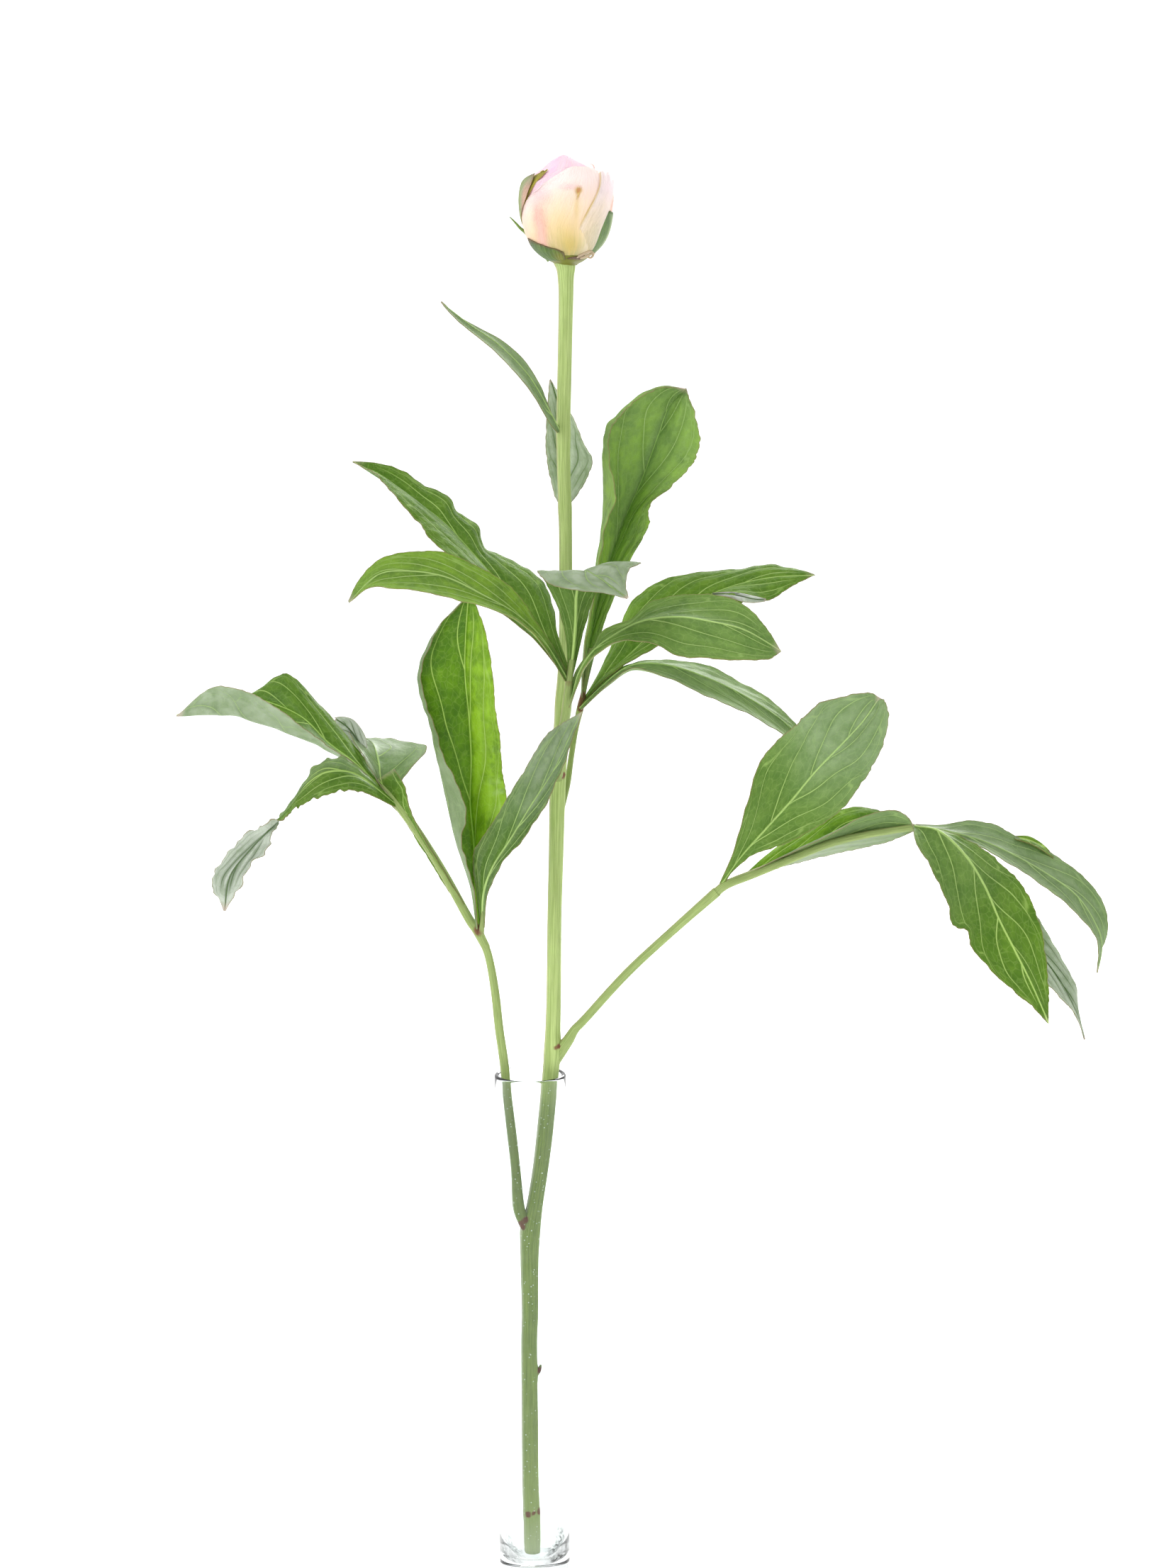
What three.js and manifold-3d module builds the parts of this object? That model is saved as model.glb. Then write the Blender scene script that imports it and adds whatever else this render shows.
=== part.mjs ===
// A cut peony, one closed bud on its leafy stem, standing in a clear straight bud vase.
// Millimetres, +Z up. The origin is the centre of the vase's foot, and +X is the side of the long leaf.
// The stem, each compound leaf, each bract, the calyx and the petals are solids of their own.
import * as THREE from 'three';
import { mergeVertices } from 'three/addons/utils/BufferGeometryUtils.js';
import Module from 'manifold-3d';

const wasm = await Module();
wasm.setup();

// Vase: a straight tube of clear glass with a thick base and a round-bottomed well
const vaseHeight = 222.4;
const vaseRadius = 15.4;
const vaseWall = 2;
const vaseFootRound = 2.2;
const wellFloor = 5.5;
const wellFlat = 6;
const wellRound = 12;
const vaseSides = 40;
const footSteps = 4;
const lipSteps = 6;
const wellSteps = 7;

// Plant
const seatGap = 0.3;
const bladeThickness = 0.7;
const bladeSteps = 12;
const halfBladeSteps = 2;
const rolledHalfSteps = 4;
const halfBladeArch = 0.07;
const narrowestTip = 0.8;
const stemSides = 12;
const stemStep = 13;
const stalkSides = 8;
const stalkStep = 6.5;
const slimSides = 6;
const slimStep = 2;
const calyxBractStep = 5;
const tiny = 1e-6;
const smallestDetail = 0.06;
const largestScrap = 5;

// Bud: its axis and the profile that its petals follow, as radius and height
const budFoot = [18.4, 0, 567.6];
const budLean = 0.7;
const budProfile = [
  [3, 0], [8, 1.5], [12.1, 4.4], [15.2, 8.4], [17.1, 13.5], [17.9, 19.5], [17.8, 25.5],
  [16.6, 31], [13.4, 36], [8.4, 40], [3, 42.2], [0, 42.6],
];
const budHeight = 42.6;
const budSides = 16;
const budSteps = 8;
const petalFoot = 0.04;
const petalDepth = 2.2;
const petalRim = 1.2;
const petalGrid = [5, 6];
const rimWave = 0.35;
const heartInset = 0.3;
const patchTip = 0.14;

// Calyx: a cup under the bud with sepals that lie on the petals
const sepalFoot = 0.07;
const sepalInside = 2;
const sepalThickness = 0.8;
const sepalGrid = [6, 4];
const cupInside = 1.6;
const cupWall = 1.3;
const cupShares = [0.02, 0.06, 0.1];
const receptacleDrop = 2.8;
const receptacleRadius = 4.4;

// Centre lines of stalks, as x, y, z and radius
const stemLine = [
  [-1, 0, 6, 3.6], [-1, 0, 21, 3.7], [-1.5, 0, 40, 3.6], [-1.5, 0, 66, 3.6], [-1.5, 0, 101, 3.5],
  [-1, 0, 117, 3.6], [-1, 0, 139, 3.9], [-0.5, 0, 152, 4.3], [1.5, 0, 164.5, 3.5], [4, 0, 180, 3.4],
  [6, 0, 195.5, 3.5], [8, 0, 214.5, 3.5], [9.5, 0, 230, 3.5], [10, 0, 242.5, 3.3],
  [10.5, 0, 258, 3.2], [11, 0, 288.5, 3.1], [12, 0, 319, 3.2], [13, 0, 349.5, 3.4],
  [15, 0, 377, 3.2], [16.5, 0, 401, 2.9], [17, 0, 425, 2.8], [17, 0, 440, 2.7], [17, 0, 457.5, 2.7],
  [16.5, 0, 481.5, 2.8], [16.5, 0, 499, 2.9], [17, 0, 516.5, 2.9], [17.5, 0, 534, 2.9],
  [18, 0, 551.5, 3.1], [18, 0, 560.5, 3.5], [18, 0, 564.5, 4.4],
];
const sideBudLine = [[1, 0, 88.5, 1.2], [2.6, -0.6, 91, 1], [3.4, -0.9, 93.4, 0.5]];
const leftPetioleLine = [
  [-0.5, -1.5, 150.5, 1.9], [-3.5, -1.5, 158, 2.4], [-5.5, -1.5, 165, 2.6],
  [-6.5, -1.5, 180.5, 2.1], [-8, -1.5, 196, 2.1], [-10, -1.5, 215, 1.9], [-11, -2, 227.5, 1.9],
  [-13, -2.5, 243, 1.9], [-14.5, -4, 259, 1.8], [-17, -5, 274.5, 1.7], [-20.5, -6.5, 284.5, 1.8],
];
const leftRachisLine = [
  [-18, -5.5, 278.5, 1.8], [-22, -6, 286.5, 2.1], [-25.5, -5, 291.5, 2], [-35, -3, 309, 1.9],
  [-43.5, -1, 323, 1.8], [-52, 2, 335, 2], [-58, 4.5, 342, 1.7], [-62, 7, 346.5, 1.4],
];
const leftInnerStalkLine = [
  [-20.5, -6.3, 283.5, 1.4], [-19.8, -8.6, 287.5, 1.2], [-19, -11, 295.5, 0.9],
];
const rightPetioleLine = [
  [10, 0, 227, 2.5], [13.5, -0.5, 233, 2.8], [16.5, -2, 237.5, 2.4], [19.5, -3, 242.5, 1.9],
  [24, -4.5, 247.5, 1.8], [42, -10, 268.5, 1.8], [61.5, -14, 287.5, 1.8], [79.5, -18.5, 304.5, 2.2],
];
const rightRachisLine = [
  [77.5, -18, 302.5, 1.9], [83.5, -19, 307.5, 1.9], [94.5, -19.5, 312, 1.9],
  [109.5, -22, 318.5, 1.8], [126, -24.5, 325.5, 1.6], [142, -28.5, 330, 1.5],
  [161, -32, 333.5, 1.4],
];
const rightRearStalkLine = [
  [159.5, -31.7, 333.3, 1.3], [161.5, -30.5, 333.3, 1.2], [166, -28.3, 330, 0.9],
];
const frontPetioleLine = [
  [13, -1, 347.5, 1.6], [14, -6.5, 359.5, 1.9], [15.5, -11, 372.5, 2], [17, -16, 382, 2],
  [18, -19, 392.5, 1.6], [19.5, -22.5, 403.5, 1.1],
];
const backPetioleLine = [
  [14.5, 1.5, 337.5, 1.3], [17, 5, 347.5, 1.3], [18.5, 7.5, 357.5, 1.2], [20.5, 9, 369.5, 1.2],
  [22.5, 9, 378.5, 1.5], [24, 9.5, 384.5, 1.3],
];
const backTallStalkLine = [
  [22.5, 9, 379.5, 1.2], [24, 9, 385.5, 1.1], [25.5, 11, 393.5, 1], [27, 13.5, 404, 0.8],
];

// Leaflets: each is held by its rib and its two margins, base to tip, with left and right as seen
// on the upper side with the tip up. A roll is a margin that curls over the blade from there.
const leftLeaflets = {
  left_side_leaflet: {
    rib: [
      [-60, 6.5, 343.5], [-73, 13, 355], [-85.5, 19.5, 363.5], [-96, 25.5, 373], [-107.5, 32, 378],
      [-122.5, 39, 381], [-138.5, 45, 378.5], [-153.5, 49, 372],
    ],
    left: [
      [-61.5, 5.5, 343], [-73.5, 5.5, 355], [-85.5, 7, 362], [-98, 9.5, 367.5], [-113.5, 15.5, 372],
      [-126, 24.5, 374.5], [-139.5, 36, 373.5], [-153.5, 49, 371.5],
    ],
    left_roll: [
      [-61, 4, 344], [-72.5, 2.5, 356], [-84, 1.5, 364.5], [-92, 2, 370.5], [-105.5, 6, 380],
      [-118.5, 14, 386], [-135.5, 29, 386.5], [-153, 49, 372],
    ],
    right: [
      [-59, 7.5, 345], [-66.5, 16.5, 351.5], [-76.5, 25.5, 364], [-87.5, 33, 375.5],
      [-101, 39.5, 389], [-109, 42.5, 389.5], [-122, 45, 379.5], [-137.5, 48.5, 379],
      [-153, 50.5, 372],
    ],
  },
  left_drooping_leaflet: {
    rib: [
      [-56.5, 1.5, 340], [-71.5, -2.5, 352.5], [-83, -8, 355], [-92, -12.5, 350.5],
      [-102.5, -15, 337.5], [-115, -17.5, 324.5], [-124.5, -18, 312.5], [-127.5, -17.5, 297.5],
    ],
    left: [
      [-56, -1, 338.5], [-70.5, -8, 346.5], [-83.5, -13, 346], [-94.5, -17, 342], [-103, -20, 337],
      [-118.5, -13, 329], [-132.5, -12.5, 312], [-128, -17.5, 297.5],
    ],
    right: [
      [-58, 3.5, 341.5], [-71.5, 1, 355], [-83, -1.5, 360.5], [-91, -6, 353.5], [-102, -10, 338],
      [-108.5, -21.5, 326], [-118, -23.5, 313.5], [-127, -17.5, 297.5],
    ],
  },
  left_end_leaflet: {
    rib: [
      [-55.5, 4, 339], [-62, 8, 347.5], [-63.5, 15, 354.5], [-66.5, 27, 361], [-71.5, 42, 361.5],
      [-77.5, 57.5, 357],
    ],
    left: [
      [-52.5, 3.5, 338], [-51.5, 4.5, 342.5], [-53, 7.5, 350], [-43, 18, 361], [-56, 35, 362],
      [-69.5, 52, 361], [-77, 57.5, 357],
    ],
    right: [
      [-56.5, 3, 340.5], [-65, 6, 350.5], [-70, 16, 358], [-77.5, 30.5, 366], [-84, 46, 371],
      [-81, 58.5, 363], [-77.5, 57.5, 356.5],
    ],
  },
  left_upright_leaflet: {
    rib: [
      [-21, -6, 287], [-22.5, -3.5, 305], [-23, 2, 322], [-24.5, 7.5, 339.5], [-24, 12.5, 357],
      [-25, 17, 375], [-26.5, 20, 393], [-26, 21, 409.5], [-24.5, 20.5, 427],
    ],
    left: [
      [-22, -7.5, 287], [-24.5, -6.5, 305], [-30, -3, 322.5], [-34.5, 1, 341], [-38, 7, 358],
      [-41.5, 12.5, 375.5], [-46, 19, 391.5], [-39.5, 21.5, 409], [-24.5, 21, 427],
    ],
    left_roll: [
      [-21.5, -10, 287.5], [-23, -12, 306.5], [-27.5, -12.5, 323.5], [-26, -10, 340.5],
      [-34, -4.5, 358], [-40.5, 7.5, 375.5], [-45, 16, 391.5], [-39, 18.5, 410], [-24.5, 19.5, 426.5],
    ],
    right: [
      [-20, -6.5, 287.5], [-19.5, -5, 305], [-15, -3.5, 323], [-9, 0, 340.5], [-10.5, 4, 351.5],
      [-11.5, 8, 365.5], [-13.5, 10.5, 380], [-15, 13.5, 398], [-18.5, 17, 414.5], [-23.5, 20.5, 427],
    ],
  },
  left_inner_leaflet: {
    rib: [
      [-19.5, -9, 288], [-18.5, -13, 303], [-14.5, -18, 315], [-6.5, -22, 328], [2.5, -24.5, 343],
      [11, -27.5, 356.5], [17.5, -28.5, 370], [23, -27.5, 382],
    ],
    left: [
      [-18.5, -9.5, 288], [-17, -14.5, 302.5], [-11, -22, 317], [-2, -28.5, 328.5], [7, -34, 342.5],
      [13.5, -35, 356], [18.5, -34, 369], [23.5, -27.5, 382],
    ],
    right: [
      [-20, -9, 288], [-22, -10, 305.5], [-23, -9.5, 319.5], [-16, -11, 331], [-8, -14.5, 344.5],
      [0, -18, 358], [8.5, -23.5, 372], [16.5, -26, 378], [23, -27.5, 382],
    ],
  },
};
const rightLeaflets = {
  right_big_leaflet: {
    rib: [
      [81, -18.5, 307], [89, -25, 320.5], [99, -31, 333], [110, -36.5, 346.5], [119.5, -41, 359],
      [129.5, -44, 370], [138, -45, 379.5], [145, -45, 389.5],
    ],
    left: [
      [82, -19, 306.5], [86, -22, 313.5], [95, -26, 321.5], [107.5, -29.5, 326.5], [120, -31.5, 333.5],
      [130.5, -34.5, 341.5], [139, -37.5, 353.5], [143, -39.5, 360.5], [147.5, -41.5, 371],
      [149, -43, 382], [147.5, -44, 387.5], [145, -45, 389.5],
    ],
    right: [
      [80.5, -18.5, 308], [84.5, -27, 319], [88.5, -35.5, 333.5], [91.5, -41.5, 347.5],
      [96, -46, 362.5], [103.5, -48.5, 373], [110.5, -50, 378.5], [113, -51.5, 382],
      [120.5, -51.5, 388], [131.5, -50.5, 391], [140, -48, 392], [145, -45, 389.5],
    ],
  },
  right_rachis_wing: {
    rib: [
      [89.5, -17.5, 309.5], [109.5, -20.5, 319], [126, -23.5, 325.5], [142.5, -26.5, 329.5],
      [160.5, -30.5, 333],
    ],
    left: [
      [90, -17.5, 308.5], [104.5, -18.5, 314], [119, -19.5, 318], [134.5, -22, 322],
      [149.5, -26, 326], [161, -30.5, 331.5],
    ],
    right: [
      [90, -19, 310.5], [102.5, -23.5, 318], [114, -28, 324], [123, -31, 329], [131.5, -33.5, 334],
      [138.5, -34.5, 338], [146, -34.5, 340.5], [152.5, -34.5, 341], [158, -34, 338],
      [160.5, -33, 334],
    ],
  },
  right_hanging_leaflet: {
    rib: [
      [161, -33, 334], [170.5, -41.5, 333], [180, -51, 324.5], [187, -58.5, 313.5],
      [192.5, -63.5, 300.5], [198.5, -67, 288.5], [205, -69.5, 275.5], [212.5, -71, 258.5],
    ],
    left: [
      [160, -34.5, 334], [160.5, -46, 329], [165.5, -57.5, 320.5], [170.5, -66.5, 310],
      [173, -70.5, 300], [178.5, -73, 297.5], [181, -73.5, 290.5], [191.5, -74, 278],
      [203.5, -73.5, 268], [212, -70.5, 258.5],
    ],
    right: [
      [161.5, -32, 334.5], [172.5, -36.5, 332.5], [183.5, -42, 329], [193, -47.5, 322.5],
      [202.5, -53.5, 313.5], [208.5, -58, 302], [212, -61.5, 286.5], [213, -65.5, 270.5],
      [212.5, -71, 259],
    ],
  },
  right_end_leaflet: {
    rib: [
      [161, -32, 334], [174.5, -30, 331], [189.5, -27.5, 326.5], [204, -25.5, 319.5],
      [217.5, -24, 311.5], [229.5, -23, 302.5], [237.5, -22, 291], [241, -21, 280.5], [239.5, -21, 269],
    ],
    left: [
      [161.5, -33, 333.5], [177, -34.5, 329.5], [190, -35.5, 324.5], [205.5, -35, 315],
      [220, -33.5, 304.5], [232.5, -30.5, 292.5], [239, -24.5, 281.5], [239, -20.5, 269],
    ],
    right: [
      [161.5, -30.5, 334.5], [173.5, -23.5, 333], [186, -18.5, 334], [197.5, -15.5, 331],
      [206, -14, 326], [214.5, -13, 322.5], [225.5, -13.5, 315.5], [236, -13.5, 307],
      [243, -15, 296], [244, -17.5, 286], [240.5, -19.5, 277.5], [239.5, -21, 269.5],
    ],
  },
  right_rear_leaflet: {
    rib: [
      [161.5, -30.5, 333.5], [178, -22.5, 320.5], [195, -19, 302.5], [210.5, -17.5, 283],
      [224, -18, 265], [231.5, -21, 249.5], [234, -22.5, 240.5],
    ],
    left: [
      [162.5, -29.5, 333.5], [180.5, -16.5, 322], [199, -11.5, 307], [215, -9, 291],
      [224, -10.5, 276], [231, -14, 263], [232, -18, 251.5], [234.5, -22.5, 241],
    ],
    right: [
      [161.5, -30.5, 333], [174.5, -29, 318.5], [189.5, -28.5, 297.5], [203, -28, 279],
      [215.5, -27.5, 267.5], [225.5, -25, 257], [230.5, -23.5, 250.5], [234, -22.5, 240.5],
    ],
  },
};
const frontLeaflets = {
  front_low_left_leaflet: {
    rib: [
      [17.5, -19.5, 394.5], [7, -25.5, 412], [-3.5, -32, 423], [-16, -37, 431], [-32, -41.5, 439.5],
      [-48, -46.5, 442.5], [-59.5, -51, 441], [-70.5, -53, 430.5],
    ],
    left: [
      [18.5, -19, 395.5], [10.5, -21, 410.5], [4.5, -24, 419.5], [-0.5, -25.5, 428],
      [-8.5, -27, 436.5], [-20, -30.5, 443.5], [-32, -33.5, 449], [-44.5, -38.5, 450], [-57, -43, 448],
      [-66, -48, 440.5], [-71, -51, 431],
    ],
    right: [
      [16.5, -21, 394], [7.5, -32, 410.5], [-0.5, -40, 420], [-13, -46.5, 427], [-26, -51, 431],
      [-39.5, -56, 435], [-53, -59, 437], [-62.5, -59, 437], [-70.5, -53, 430.5],
    ],
  },
  front_high_left_leaflet: {
    rib: [
      [18, -19, 395], [8.5, -9.5, 410], [-2, -3, 423], [-12.5, 3, 434.5], [-23, 8, 446],
      [-32.5, 13, 456], [-42.5, 16, 464], [-56.5, 19, 473], [-73, 21, 483.5],
    ],
    left: [
      [17.5, -20, 394], [4.5, -19, 410.5], [-10.5, -17.5, 423.5], [-23, -14.5, 435],
      [-33.5, -9.5, 447], [-41, -6.5, 454.5], [-44, -3, 459], [-51.5, 0, 466.5], [-58.5, 6.5, 474.5],
      [-64.5, 13, 479.5], [-73, 21, 483],
    ],
    right: [
      [19, -18.5, 396.5], [13, -5, 413], [12, 3, 421], [8.5, 11, 430], [2, 16, 437], [-8.5, 19, 442],
      [-17.5, 19, 447], [-20.5, 21, 455.5], [-28.5, 22.5, 461.5], [-33, 24, 468], [-42.5, 24, 472.5],
      [-49.5, 24, 477.5], [-60.5, 24, 482], [-73, 21, 483.5],
    ],
  },
  front_folded_leaflet: {
    rib: [
      [18, -19.5, 393.5], [20, -24, 407], [21, -29, 419.5], [21.5, -35, 432], [24, -46.5, 442],
      [30, -59, 441], [35.5, -64, 437.5], [42, -65.5, 433],
    ],
    left: [
      [19.5, -19, 395], [23, -21, 410], [26, -22.5, 421.5], [30, -27, 432.5], [37, -37, 443],
      [47.5, -48, 445.5], [43, -59, 444], [41.5, -64, 438], [42.5, -65.5, 433],
    ],
    right: [
      [17.5, -19.5, 395], [17, -22.5, 411], [14, -25.5, 424.5], [9.5, -30.5, 435], [5.5, -41.5, 442],
      [10.5, -56, 438], [21, -62.5, 436], [32, -65.5, 435], [42, -65.5, 432.5],
    ],
  },
  front_right_leaflet: {
    rib: [
      [19.5, -19, 387], [22.5, -22.5, 397.5], [28, -27, 406.5], [36, -32, 413.5], [48, -38.5, 420.5],
      [62.5, -45, 423], [76.5, -51, 421.5], [89.5, -56, 418.5], [104, -61, 410.5],
    ],
    left: [
      [18, -21, 383], [21, -25.5, 391.5], [25, -32, 401.5], [31.5, -38.5, 409], [40.5, -45, 413.5],
      [52, -51, 413], [63, -57.5, 408.5], [75.5, -62.5, 408], [87.5, -65.5, 407.5], [98.5, -65.5, 408],
      [103.5, -61, 410],
    ],
    right: [
      [18.5, -17.5, 388.5], [21, -16, 398], [27.5, -14.5, 406.5], [32.5, -14.5, 414.5],
      [44, -16, 419.5], [53, -19, 427], [64.5, -25.5, 430], [77, -33.5, 431], [88.5, -43, 428.5],
      [97.5, -53, 420.5], [104, -61, 410.5],
    ],
  },
};
const backLeaflets = {
  back_tall_leaflet: {
    rib: [
      [23.5, 9, 383], [26, 13.5, 401], [29, 18, 417.5], [34.5, 21, 437], [41.5, 22.5, 456.5],
      [49.5, 22.5, 475], [56, 19.5, 492.5], [61, 15, 506], [68, 9, 513.5],
    ],
    left: [
      [23, 9, 383.5], [24, 9, 401.5], [26.5, 10.5, 418], [29.5, 12, 438.5], [32, 12, 455],
      [33, 12, 471.5], [33.5, 10.5, 489], [37, 9, 499.5], [45.5, 7.5, 508], [56.5, 6, 514.5],
      [67.5, 9, 513.5],
    ],
    left_roll: [
      [23.5, 7.5, 383.5], [24.5, 6, 401.5], [27, 4.5, 418.5], [30.5, 3, 439.5], [33.5, 0, 455],
      [38, -1.5, 471], [35, 1.5, 487], [37.5, 4.5, 499], [46, 4.5, 508], [57, 4.5, 514],
      [67.5, 7.5, 513.5],
    ],
    right: [
      [24.5, 9, 383.5], [28, 12, 398], [33, 13.5, 414.5], [38, 15, 427], [45.5, 15, 443.5],
      [52, 13.5, 455.5], [52.5, 12, 464.5], [60.5, 12, 471.5], [69, 10.5, 480], [73, 9, 487.5],
      [73, 7.5, 497.5], [69.5, 7.5, 508.5], [68, 9, 513.5],
    ],
  },
  back_far_right_leaflet: {
    rib: [
      [23, 9, 381], [30.5, 12, 390], [43, 18, 400], [55, 24, 410.5], [70.5, 31.5, 420.5],
      [87.5, 37.5, 427.5], [106, 42, 431], [124.5, 45, 431.5],
    ],
    left: [
      [23.5, 9, 382.5], [28.5, 18, 388.5], [34, 27, 398.5], [39, 34.5, 408], [44.5, 39, 420],
      [53.5, 43.5, 427.5], [69.5, 46.5, 432.5], [88, 49.5, 433.5], [102, 51, 435.5],
      [114, 49.5, 434.5], [124, 45, 432],
    ],
    right: [
      [23.5, 7.5, 380.5], [33.5, 7.5, 391.5], [45, 10.5, 399], [55.5, 13.5, 404.5], [70, 16.5, 409.5],
      [86.5, 21, 416.5], [95, 25.5, 424], [103, 30, 422], [114.5, 39, 427.5], [124, 45, 431.5],
    ],
  },
  back_right_leaflet: {
    rib: [
      [22.5, 7.5, 379], [32, 3, 388.5], [44, 0, 397.5], [59, -1.5, 398], [77, 0, 392], [95, 3, 382.5],
      [110, 7.5, 371.5], [125.5, 12, 356],
    ],
    left: [
      [23, 6, 378.5], [35, -3, 391], [45, -9, 398], [60, -12, 394], [76.5, -12, 386], [93, -9, 378.5],
      [108, -4.5, 369], [119, 3, 360], [125.5, 12, 355.5],
    ],
    right: [
      [22.5, 9, 380], [31.5, 9, 389], [42.5, 12, 397], [58, 15, 398.5], [76, 18, 396],
      [91.5, 19.5, 388], [105.5, 18, 379.5], [116.5, 15, 368], [126, 12, 356.5],
    ],
  },
};
const bracts = {
  upper_left_bract: {
    rib: [
      [15, -1.5, 496.5], [10, -7.5, 506], [2, -13.5, 520], [-9.5, -19.5, 532.5], [-20.5, -24, 540.5],
      [-33, -27, 550.5],
    ],
    left: [
      [15.5, 0, 497], [12.5, -4.5, 502], [9.5, -7.5, 510], [6.5, -9, 517], [0.5, -12, 526.5],
      [-9, -15, 535], [-19, -19.5, 540.5], [-27, -24, 545.5], [-32.5, -27, 551],
    ],
    right: [
      [14, -3, 496], [10.5, -12, 501], [5, -19.5, 511.5], [-2.5, -25.5, 521.5], [-11, -28.5, 530.5],
      [-21, -30, 539], [-27, -30, 544], [-33, -27, 550.5],
    ],
  },
  upper_back_bract: {
    rib: [
      [17, 3, 464], [17.5, 9.5, 472], [17.5, 16, 483.5], [16, 19.5, 495], [14, 21, 507],
      [11, 19.5, 517.5],
    ],
    left: [
      [16, 3, 464.5], [13, 6.5, 468], [10.5, 10.5, 477], [9, 13, 486.5], [9, 16, 497.5],
      [10, 17, 508.5], [10.5, 19.5, 517],
    ],
    right: [
      [17.5, 3, 464.5], [22, 6.5, 469.5], [26, 10.5, 476], [28.5, 13, 483.5], [24.5, 14.5, 491.5],
      [21, 17, 500.5], [15.5, 19.5, 510], [11, 19.5, 517.5],
    ],
  },
};

// Petals: direction round the axis, half-width, height reached, how far out, and flare at the rim
const petals = [
  { angle: 272, halfWidth: 62, reach: 0.75, lift: 0.9, flare: 0, point: 3 },
  { angle: 345, halfWidth: 60, reach: 0.74, lift: 0.5, flare: 2.4, point: 3 },
  { angle: 170, halfWidth: 62, reach: 0.9, lift: 0.5, flare: 0.6, point: 3 },
  { angle: 95, halfWidth: 56, reach: 0.8, lift: 0.9, flare: 0.2, point: 3 },
  { angle: 52, halfWidth: 46, reach: 0.84, lift: 0.1, flare: 0.2, point: 3 },
];
const sepals = [
  { angle: 186, halfWidth: 27, reach: 0.68, lift: 0.3, flare: 0.7, point: 1.4 },
  { angle: 138, halfWidth: 30, reach: 0.71, lift: 0, flare: 0.5, point: 1.4 },
  { angle: 232, halfWidth: 46, reach: 0.29, lift: 0.8, flare: 0, point: 3 },
  { angle: 352, halfWidth: 34, reach: 0.44, lift: 0.1, flare: 0.3, point: 1.3 },
  { angle: 70, halfWidth: 36, reach: 0.5, lift: 0, flare: 0.5, point: 1.5 },
  { angle: 293, halfWidth: 23, reach: 0.17, lift: 0.4, flare: 0, point: 3 },
];
const calyxBractLine = [
  [11, 6, 566.5, 0.9], [3.5, 9, 569, 0.8], [-1.2, 8, 574, 0.7], [-2.8, 5, 579, 0.55], [-5.2, 4, 584.5, 0.4],
];

const vector = (point) => new THREE.Vector3(point[0], point[1], point[2]);
const railCurve = (points) => new THREE.CatmullRomCurve3(points.map(vector), false, 'catmullrom', 0.5);

// A closed solid from points and triangles, turned so that its faces point out
function solidOf(points, triangles) {
  const volume = triangles.reduce((sum, [a, b, c]) => {
    const normal = new THREE.Vector3().crossVectors(points[b], points[c]);
    return sum + points[a].dot(normal);
  }, 0);
  const outward = volume > 0 ? triangles : triangles.map(([a, b, c]) => [a, c, b]);
  const vertProperties = Float32Array.from(points.flatMap((point) => point.toArray()));
  const triVerts = Uint32Array.from(outward.flat());
  return new wasm.Manifold(new wasm.Mesh({ numProp: 3, vertProperties, triVerts }));
}

// The solid between two grids of points that share their rows and columns
function solidBetween(upper, lower) {
  const rows = upper.length;
  const columns = upper[0].length;
  const points = [...upper.flat(), ...lower.flat()];
  const top = (i, j) => i * columns + j;
  const bottom = (i, j) => rows * columns + i * columns + j;
  const triangles = [];
  const quad = (a, b, c, d) => triangles.push([a, b, c], [a, c, d]);
  for (let i = 0; i + 1 < rows; i += 1) {
    for (let j = 0; j + 1 < columns; j += 1) {
      quad(top(i, j), top(i + 1, j), top(i + 1, j + 1), top(i, j + 1));
      triangles.push([bottom(i, j), bottom(i + 1, j + 1), bottom(i + 1, j)]);
      triangles.push([bottom(i, j), bottom(i, j + 1), bottom(i + 1, j + 1)]);
    }
    const last = columns - 1;
    quad(top(i, 0), bottom(i, 0), bottom(i + 1, 0), top(i + 1, 0));
    quad(top(i + 1, last), bottom(i + 1, last), bottom(i, last), top(i, last));
  }
  for (let j = 0; j + 1 < columns; j += 1) {
    const last = rows - 1;
    quad(top(0, j + 1), bottom(0, j + 1), bottom(0, j), top(0, j));
    quad(top(last, j), bottom(last, j), bottom(last, j + 1), top(last, j + 1));
  }
  return solidOf(points, triangles);
}

// A round stalk along a line of points with radii
function stalk(line, sides, step, grow = 0) {
  const curve = railCurve(line);
  const steps = Math.ceil(curve.getLength() / step);
  const depthAxis = new THREE.Vector3(0, 1, 0);
  const points = [];
  const triangles = [];
  for (let i = 0; i <= steps; i += 1) {
    const place = i / steps;
    const centre = curve.getPoint(place);
    const along = curve.getTangent(place);
    const side = new THREE.Vector3().crossVectors(along, depthAxis).normalize();
    const front = new THREE.Vector3().crossVectors(side, along);
    const at = place * (line.length - 1);
    const span = Math.min(Math.floor(at), line.length - 2);
    const radius = THREE.MathUtils.lerp(line[span][3], line[span + 1][3], at - span) + grow;
    for (let k = 0; k < sides; k += 1) {
      const turn = (2 * Math.PI * k) / sides;
      const out = side.clone().multiplyScalar(Math.cos(turn)).addScaledVector(front, Math.sin(turn));
      points.push(centre.clone().addScaledVector(out, radius));
    }
  }
  for (let k = 0; k < sides; k += 1) {
    const next = (k + 1) % sides;
    for (let i = 0; i < steps; i += 1) {
      const a = i * sides;
      const b = a + sides;
      triangles.push([a + k, a + next, b + next], [a + k, b + next, b + k]);
    }
    if (k > 0 && next > 0) {
      triangles.push([0, next, k]);
      triangles.push([steps * sides, steps * sides + k, steps * sides + next]);
    }
  }
  return solidOf(points, triangles);
}

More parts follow.
